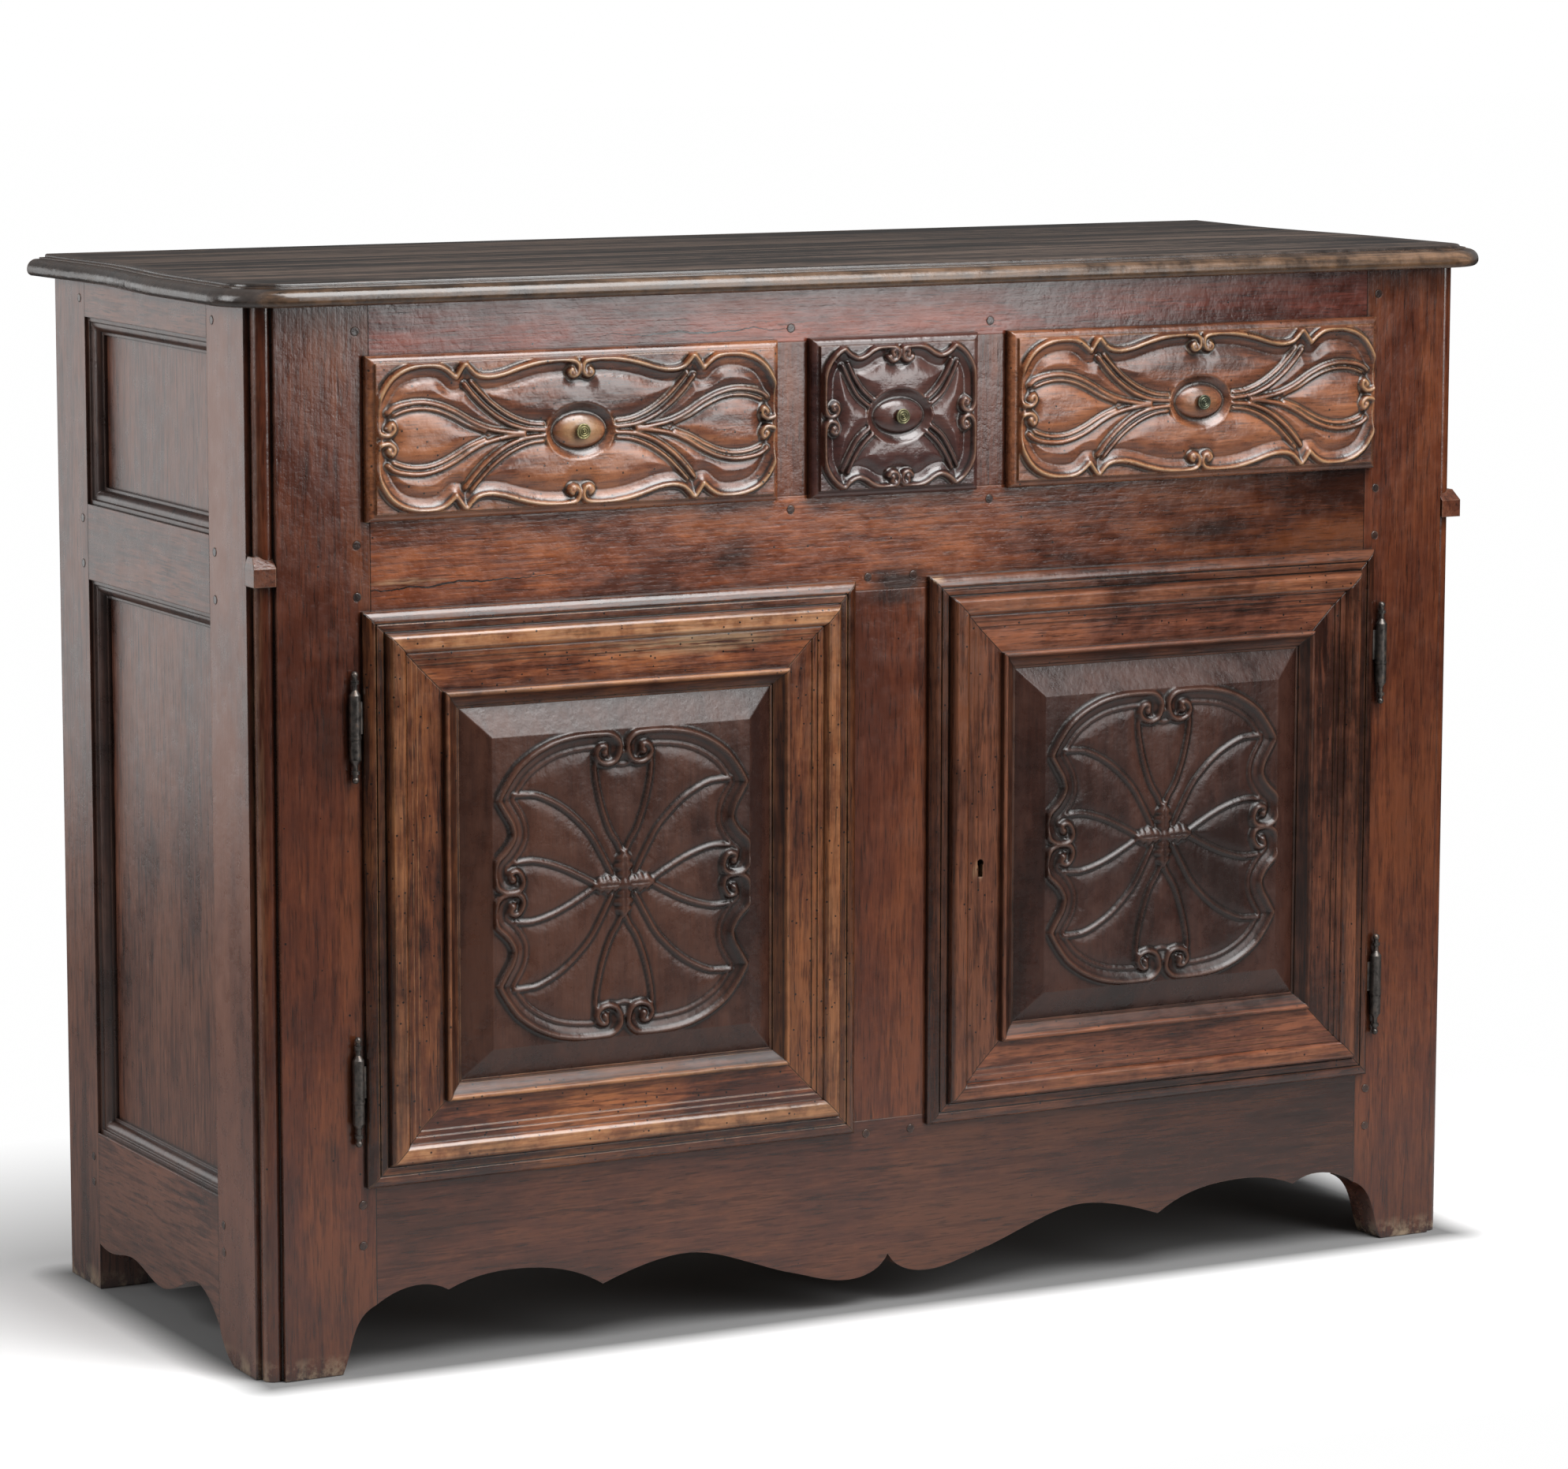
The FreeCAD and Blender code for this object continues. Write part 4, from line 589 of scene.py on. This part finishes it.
def panel_carving(u, v):
    """A door panel: the border, six pairs of ribs, and four lobed leaves about a bud."""
    cove, leaf_long, leaf_half, lobe_long, vein_deep = 13.0, 33, 10, 8.4, 1.3
    crest = [smooth(PANEL_TOP), smooth(PANEL_SIDE)]
    outline = loop_of(np.vstack([[(0, 127)], smooth(PANEL_TOP[7:]), smooth(PANEL_SIDE[:11]), [(-122, 0)]]))
    high, held, edge = scroll_border(u, v, crest, outline, [(-20.5, 126), (-116.5, 13)], tall=6.0, cove=cove,
                                     eye_r=4.6)
    ribs = nearest(u, v, mirrored_ribs(PANEL_RIBS))
    puff = pillow(np.minimum(ribs, np.abs(edge - cove)), wide=8, tall=1.5, power=2)
    high = np.where(held & (edge > cove - 1), np.maximum(high, puff), high)
    high = np.maximum(high, np.where(held, bead(np.abs(edge - cove), half=1.6, tall=1.9), 0))
    high = np.where(held, np.maximum(high, bead(ribs, half=2.0, tall=3.2)), high)
    for s, c in ((0, 1), (1, 0), (0, -1), (-1, 0)):
        a, b = c * u + s * v, -s * u + c * v
        lobes = 0.66 + 0.34 * np.abs(np.cos(np.pi * b / lobe_long))
        wide = leaf_half * np.sin(np.pi * np.clip(b, 0.01, leaf_long - 0.1) / leaf_long) ** 0.7 * lobes
        leaf = bead(a, wide, tall=5.8) - vein_deep * np.exp(-a ** 2)
        high = np.maximum(high, np.where((b > 0) & (b < leaf_long), leaf, 0))
    return np.maximum(high, dome(u, v, at=(0, 0), radii=(8, 8), tall=6.2))


WIDE_END = [(-196, 11), (-192, 14), (-190, 9), (-194, 4.5), (-199, 4), (-206, 7), (-208, 17), (-207, 29),
            (-203, 40), (-194.5, 53), (-183, 61.5), (-168.5, 66), (-154.5, 67), (-143, 65), (-134.5, 60),
            (-128, 54)]
WIDE_POINT = [(-128, 54), (-123, 61.5), (-118, 67.5)]
WIDE_TOP = [(-118, 67.5), (-113, 61.5), (-106, 56), (-94.5, 54), (-80, 56), (-63, 61), (-46, 65), (-28.5, 67),
            (-14.5, 67), (-4.5, 64.5), (-2, 58.5), (-4, 53), (-9, 51.5), (-12, 55), (-9, 58)]
WIDE_RIBS = [
    [(-196, 24), (-190, 28.5), (-180, 31.5), (-163, 33), (-146, 30), (-129, 23), (-111.5, 13), (-94.5, 6),
     (-74.5, 2), (-58, 0.8)],
    [(-118.5, 48), (-108.5, 36), (-94.5, 23), (-77, 11.5), (-57, 4.5), (-34.5, 2.5)]]
WIDE_FINE_RIBS = [
    [(-190, 22), (-178, 26), (-163, 27.5), (-147, 25), (-131, 18.5), (-114, 9.5), (-98, 3.5)],
    [(-112, 50), (-102, 39.5), (-89, 27.5), (-72, 16.5), (-54, 9.5), (-38, 7.5)]]


def wide_carving(u, v):
    """A wide drawer: the border, with ribs that sweep in from its ends and points to the boss."""
    cove = 11.5
    crest = [smooth(WIDE_END), smooth(WIDE_POINT), smooth(WIDE_TOP)]
    outline = loop_of(np.vstack([[(0, 60)], smooth(WIDE_TOP[:11])[::-1], smooth(WIDE_POINT)[::-1],
                                 smooth(WIDE_END[5:])[::-1], [(-203, 0)]]))
    high, held, edge = scroll_border(u, v, crest, outline, [(-195.5, 10), (-8, 54.5)], tall=7.0, cove=cove,
                                     eye_r=4.2)
    ribs = nearest(u, v, mirrored_ribs(WIDE_RIBS))
    fine_ribs = nearest(u, v, mirrored_ribs(WIDE_FINE_RIBS))
    puff = pillow(np.minimum(np.minimum(ribs, fine_ribs), np.abs(edge - cove)), wide=7, tall=3.8, power=1.6)
    high = np.where(held & (edge > cove - 0.5), np.maximum(high, puff), high)
    raised = np.maximum(bead(ribs, half=2.5, tall=5.6), bead(fine_ribs, half=1.9, tall=4.6))
    high = np.where(held, np.maximum(high, raised), high)
    return boss(u, v, high)


def boss(u, v, high):
    """An oval dome under the knob, in a moat cut down through the carving."""
    moat_deep, bank, dome_sunk = 2.4, 4.5, 2.2
    ring = np.sqrt((u / 35) ** 2 + (v / 26) ** 2)
    around = np.maximum(high, bank)
    moat = -moat_deep + np.clip((ring - 0.70) / 0.34, 0, 1) ** 1.7 * (around + moat_deep)
    high = np.where(ring < 1.04, np.minimum(moat, around), high)
    return np.maximum(high, dome(u, v, at=(0, 0), radii=(27.5, 16.5), tall=8.0) - dome_sunk)


SMALL_TOP = [(-8, 59), (-9, 62.5), (-5, 64), (-2, 60), (-4, 55), (-9, 53.5), (-13, 57)]
SMALL_RIM = [(-2, 61), (-3.5, 65), (-10, 67), (-21, 67), (-30, 64), (-38, 59), (-46, 57), (-54.5, 60.5),
             (-61, 66.5)]
SMALL_SIDE = [(-61, 66.5), (-69.5, 61), (-77, 52), (-81.5, 41), (-82.5, 28), (-82.5, 14), (-81, 7),
              (-77, 2.5), (-71, 3.5), (-68, 9), (-71, 14), (-75, 12)]
SMALL_RIBS = [
    [(-63, 50), (-55, 34.5), (-45.5, 20), (-30, 8)],
    [(-57, 52), (-49.5, 37.5), (-40, 25), (-27, 14)]]


def small_carving(u, v):
    """The centre drawer: the border, with a pair of ribs from each corner to the boss."""
    cove = 10.5
    crest = [smooth(SMALL_TOP), smooth(SMALL_RIM), smooth(SMALL_SIDE)]
    outline = loop_of(np.vstack([[(0, 60)], smooth(SMALL_RIM), smooth(SMALL_SIDE[:8]), [(-79, 0)]]))
    high, held, edge = scroll_border(u, v, crest, outline, [(-8, 58.5), (-73, 9.5)], tall=7.0, cove=cove,
                                     eye_r=4.2)
    ribs = nearest(u, v, mirrored_ribs(SMALL_RIBS))
    puff = pillow(np.minimum(ribs, np.abs(edge - cove)), wide=7, tall=4.2, power=1.6)
    high = np.where(held & (edge > cove - 0.5), np.maximum(high, puff), high)
    high = np.where(held, np.maximum(high, bead(ribs, half=2.4, tall=5.4)), high)
    return boss(u, v, high)


def softened(grid, rounds):
    """The same surface with its sharp steps rubbed down."""
    for _ in range(rounds):
        pad = np.pad(grid, 1, mode="edge")
        grid = (4 * grid + pad[:-2, 1:-1] + pad[2:, 1:-1] + pad[1:-1, :-2] + pad[1:-1, 2:]) / 8
    return grid


TOOL_ROUNDS = 3    # softening of the carved surface
BROAD_ROUNDS = 14  # softening of the form that crests stand proud of


def carved_board(name, node, body, finish, middle, half, level, cells, carving, rings, crest,
                 boss_worn=0.0):
    """A board whose field carries the carving; rings step from the field's edge round to the back.

    middle and half place the field on the front, level is how far it stands off it, and crest is how high the
    carving has to be to be rubbed, in millimetres. A ring is half its width and height, its level and whether
    it is crisp.
    """
    bpy.ops.object.select_all(action="DESELECT")
    bpy.ops.mesh.primitive_grid_add(x_subdivisions=cells[0], y_subdivisions=cells[1], size=2)
    board = bpy.context.object
    board.name = board.data.name = name
    mesh = board.data
    points = np.empty(len(mesh.vertices) * 3)
    mesh.vertices.foreach_get("co", points)
    points = points.reshape(-1, 3)
    u, v = points[:, 0] * half[0], points[:, 1] * half[1]
    shape = (cells[1] + 1, cells[0] + 1)
    edge = np.minimum(half[0] - np.abs(u), half[1] - np.abs(v)).reshape(shape)
    high = softened(carving(u, v).reshape(shape), TOOL_ROUNDS) * np.clip(edge / 1.6, 0, 1)
    points[:, 0] = (middle[0] + u) * MM
    points[:, 1] = FRONT - (level + high.ravel()) * MM
    points[:, 2] = (middle[1] + v) * MM
    mesh.vertices.foreach_set("co", points.ravel())
    mesh.update()

    # Crests and the boss are rubbed bare, and hollows carry dirt and painted shade, fading out at the field's
    # edge.
    bulge = high - softened(high, BROAD_ROUNDS)
    rubbed = np.clip((bulge - 0.2) / 0.5, 0, 1) * np.clip((high - crest) / 0.9, 0, 1)
    on_boss = np.clip(2.4 - 2.4 * np.hypot(u / 27, v / 16), 0, 1).reshape(shape)
    rubbed = np.maximum(rubbed, boss_worn * on_boss)
    grime_and_shade = np.clip((-bulge - 0.09) / 0.32, 0, 1)
    fade = np.clip((edge - 0.5) / 2, 0, 1)

    bpy.ops.object.mode_set(mode="EDIT")
    bpy.ops.mesh.select_all(action="DESELECT")
    bpy.ops.mesh.select_mode(type="EDGE")
    bpy.ops.mesh.select_non_manifold()
    centre = (middle[0] * MM, FRONT, middle[1] * MM)
    last_wide, last_tall, last_level = *half, level
    for wide, tall, ring_level, crisp in rings:
        if crisp:
            bpy.ops.mesh.mark_sharp()
        inwards = (0, (last_level - ring_level) * MM, 0)
        bpy.ops.mesh.extrude_region_move(TRANSFORM_OT_translate={"value": inwards})
        bpy.ops.transform.resize(value=(wide / last_wide, 1, tall / last_tall), center_override=centre)
        last_wide, last_tall, last_level = wide, tall, ring_level
    bpy.ops.mesh.mark_sharp()
    bpy.ops.mesh.edge_face_add()
    bpy.ops.object.mode_set(mode="OBJECT")
    bpy.ops.object.shade_smooth()
    for label, amount in (("rubbed", rubbed), ("grime_and_shade", grime_and_shade)):
        amounts = np.zeros(len(mesh.vertices), np.float32)
        amounts[:len(points)] = (amount * fade).ravel()
        mesh.attributes.new(label, "FLOAT", "POINT").data.foreach_set("value", amounts)
    mesh.materials.append(finish)
    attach(board, body)
    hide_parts(node)


PANEL_RINGS = [(163.5, 175.5, 7, True), (182.5, 194.5, 7, True), (182.5, 194.5, -4, True)]
for side, x, finish in (("left", -DOOR_X, left_panel_wood), ("right", DOOR_X, right_panel_wood)):
    carved_board(f"{side}_door_carved_panel", f"{side}_door_panel", f"{side}_door", finish,
                 middle=(x, DOOR_Z), half=(135.5, 147.5), level=20, cells=(258, 280), carving=panel_carving,
                 rings=PANEL_RINGS, crest=4.4)


def lip_rings(wide, tall):
    """From a drawer's field down its rounded lip and behind it."""
    radius, face = 6.5, 11
    rounded = [(radius * (1 - math.cos(a)), radius * (1 - math.sin(a)))
               for a in np.linspace(math.pi / 2, 0, 6)[1:]]
    return ([(wide - 6.9, tall - 6.9, face + 0.2, True), (wide - radius, tall - radius, face, True)]
            + [(wide - out, tall - out, face - down, False) for out, down in rounded]
            + [(wide, tall, 0.5, False), (wide - 7.5, tall - 4.5, 0.5, True),
               (wide - 7.5, tall - 4.5, -10, True)])


for side, x, finish, worn_and_lit in (("left", -DRAWER_X, left_drawer_wood, 1.0),
                              ("right", DRAWER_X, right_drawer_wood, 0.25)):
    carved_board(f"{side}_drawer_carved_front", f"{side}_drawer_front", f"{side}_drawer",
                 finish, middle=(x, DRAWER_Z), half=(206, 69), level=14, cells=(470, 157),
                 carving=wide_carving, rings=lip_rings(213.5, 76.5), crest=5.2, boss_worn=worn_and_lit)
carved_board("centre_drawer_carved_front", "centre_drawer_front", "centre_drawer",
             centre_drawer_wood, middle=(0, DRAWER_Z), half=(84.5, 69), level=14, cells=(242, 198),
             carving=small_carving, rings=lip_rings(92, 76.5), crest=5.2)


# Knobs

# Half the turned outline: radius, then how far it stands off the carcass front, in millimetres.
KNOB_LINE = [(0.01, 16.5), (3.5, 16.5), (3.4, 19), (3.0, 20.5), (3.6, 21.6), (5.4, 22.2), (6.9, 22.7),
             (7.4, 23.4), (7.2, 24.1), (6.6, 24.4), (6.1, 24.2), (5.7, 23.7), (5.2, 23.7), (4.9, 24.4),
             (4.3, 24.8), (3.8, 24.6), (3.5, 24.0), (3.0, 24.0), (2.7, 24.7), (2.2, 25.1), (1.7, 24.8),
             (1.4, 24.5), (1.1, 25.2), (0.6, 25.7), (0.01, 25.8)]
KNOB_TURNS = 40


def turned_knob(name, node, body, finish, x):
    """A circle's vertices are laid along the outline, its closing edge deleted, and the outline spun."""
    bpy.ops.object.select_all(action="DESELECT")
    bpy.ops.mesh.primitive_circle_add(vertices=len(KNOB_LINE), radius=0.01, fill_type="NOTHING")
    knob = bpy.context.object
    knob.name = knob.data.name = name
    centre = (x * MM, FRONT, DRAWER_Z * MM)
    for vertex, (radius, proud) in zip(knob.data.vertices, KNOB_LINE):
        vertex.co = ((x + radius) * MM, FRONT - proud * MM, centre[2])
    bpy.ops.object.mode_set(mode="EDIT")
    bpy.ops.mesh.select_mode(type="EDGE")
    bpy.ops.mesh.select_all(action="DESELECT")
    bpy.ops.object.mode_set(mode="OBJECT")
    for edge in knob.data.edges:
        edge.select = set(edge.vertices) == {0, len(KNOB_LINE) - 1}
    bpy.ops.object.mode_set(mode="EDIT")
    bpy.ops.mesh.delete(type="EDGE")
    bpy.ops.mesh.select_all(action="SELECT")
    bpy.ops.mesh.spin(steps=KNOB_TURNS, angle=2 * math.pi, center=centre, axis=(0, 1, 0))
    bpy.ops.mesh.select_all(action="SELECT")
    bpy.ops.mesh.remove_doubles(threshold=0.00002)
    bpy.ops.mesh.normals_make_consistent(inside=False)
    bpy.ops.object.mode_set(mode="OBJECT")
    bpy.ops.object.shade_smooth_by_angle(angle=math.radians(50))
    knob.data.materials.append(finish)
    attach(knob, body)
    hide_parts(node)


for side, x, finish in (("left", -DRAWER_X, left_brass), ("centre", 0, centre_brass),
                        ("right", DRAWER_X, right_brass)):
    turned_knob(f"{side}_drawer_turned_knob", f"{side}_drawer_knob", f"{side}_drawer", finish, x)


# Camera, floor and light

scene = bpy.context.scene
scene.view_settings.view_transform = "Standard"
bpy.ops.object.camera_add(location=(-2.627, -4.914, 1.355),
                          rotation=(math.radians(81.62), math.radians(-0.08), math.radians(-28.22)))
camera = bpy.context.object
camera.data.lens = 128.48
camera.data.sensor_width = 36
scene.camera = camera


def grey(value):
    return (value, value, value)


def floor_paint():
    """Pale paint with a painted shadow under the credenza, shaded beside it and white farther off; far away
    it throws back less light.
    """
    f = Finish("pale_floor")
    footprint = (0.66, 0.25, 1.0)
    beside = f.vector("ABSOLUTE", f.add("TexCoord").outputs["Object"])
    beside = f.vector("MAXIMUM", f.vector("SUBTRACT", beside, footprint), (0.0, 0.0, 0.0))
    distance = f.vector("LENGTH", beside, output="Value")
    speck = f.cloud(f.place(), 30.0, 2.0)
    far = f.ramp(f.span(distance, 0.35, 1.6), (0, 1), (grey(0.54), grey(0.13)))
    thrown = f.add("BsdfDiffuse", {"Color": far})
    # painted shadow: to the camera the floor is dark grey under the credenza and bright beyond it
    close = f.ramp(f.span(distance, 0.0, 0.05), (0, 1), (grey(0.26), grey(1.18)))
    shaded = f.add("BsdfDiffuse", {"Color": close})
    white = f.add("Emission", {"Color": f.ramp(speck, (0, 1), (grey(1), grey(0.995)))})
    shown = f.add("MixShader", {"Fac": f.span(distance, 0.08, 0.6), 1: shaded.outputs["BSDF"],
                                2: white.outputs["Emission"]})
    ground = f.add("MixShader", {"Fac": f.add("LightPath").outputs["Is Camera Ray"],
                                 1: thrown.outputs["BSDF"], 2: shown.outputs["Shader"]})
    f.feed(f.tree.nodes["Material Output"].inputs["Surface"], ground.outputs["Shader"])
    f.tree.nodes.remove(f.shader)
    return f.material


bpy.ops.mesh.primitive_plane_add(size=60, location=(0, 0, -0.0005))
floor = bpy.context.object
floor.name = "studio_floor"
floor.data.materials.append(floor_paint())

# The room is white to the camera, dim to the wood and a little brighter in its reflections.
ROOM_LIGHT, ROOM_REFLECTED = 0.12, 0.14
world = bpy.data.worlds.new("studio")
scene.world = world
world.use_nodes = True
sky = world.node_tree
back = sky.nodes["Background"]
path = sky.nodes.new("ShaderNodeLightPath")
reflected = sky.nodes.new("ShaderNodeMath")
reflected.operation = "MULTIPLY_ADD"
reflected.inputs[1].default_value = ROOM_REFLECTED
reflected.inputs[2].default_value = ROOM_LIGHT
seen = sky.nodes.new("ShaderNodeMath")
seen.operation = "MAXIMUM"
sky.links.new(path.outputs["Is Glossy Ray"], reflected.inputs[0])
sky.links.new(path.outputs["Is Camera Ray"], seen.inputs[0])
sky.links.new(reflected.outputs["Value"], seen.inputs[1])
sky.links.new(seen.outputs["Value"], back.inputs["Strength"])
back.inputs["Color"].default_value = (1, 1, 1, 1)


def softbox(name, at, aim, size, watts):
    bpy.ops.object.light_add(type="AREA", location=at)
    lamp = bpy.context.object
    lamp.name = name
    lamp.rotation_euler = (Vector(aim) - Vector(at)).to_track_quat("-Z", "Y").to_euler()
    lamp.data.shape = "RECTANGLE"
    lamp.data.size, lamp.data.size_y = size
    lamp.data.energy = watts
    lamp.visible_camera = False


softbox("front_softbox", (1.35, -3.05, 1.6), (0.1, 0, 0.9), (1.2, 2.1), 35)
softbox("overhead_softbox", (0.45, -1.75, 3.2), (0.1, -0.4, 0.4), (2.1, 2.2), 130)
softbox("side_reflector", (-2.0, 2.7, 0.75), (-0.66, 0.0, 0.5), (1.9, 1.5), 12)
softbox("side_softbox", (-3.0, 0.35, 1.6), (-0.66, 0.1, 0.5), (1.2, 1.6), 36)
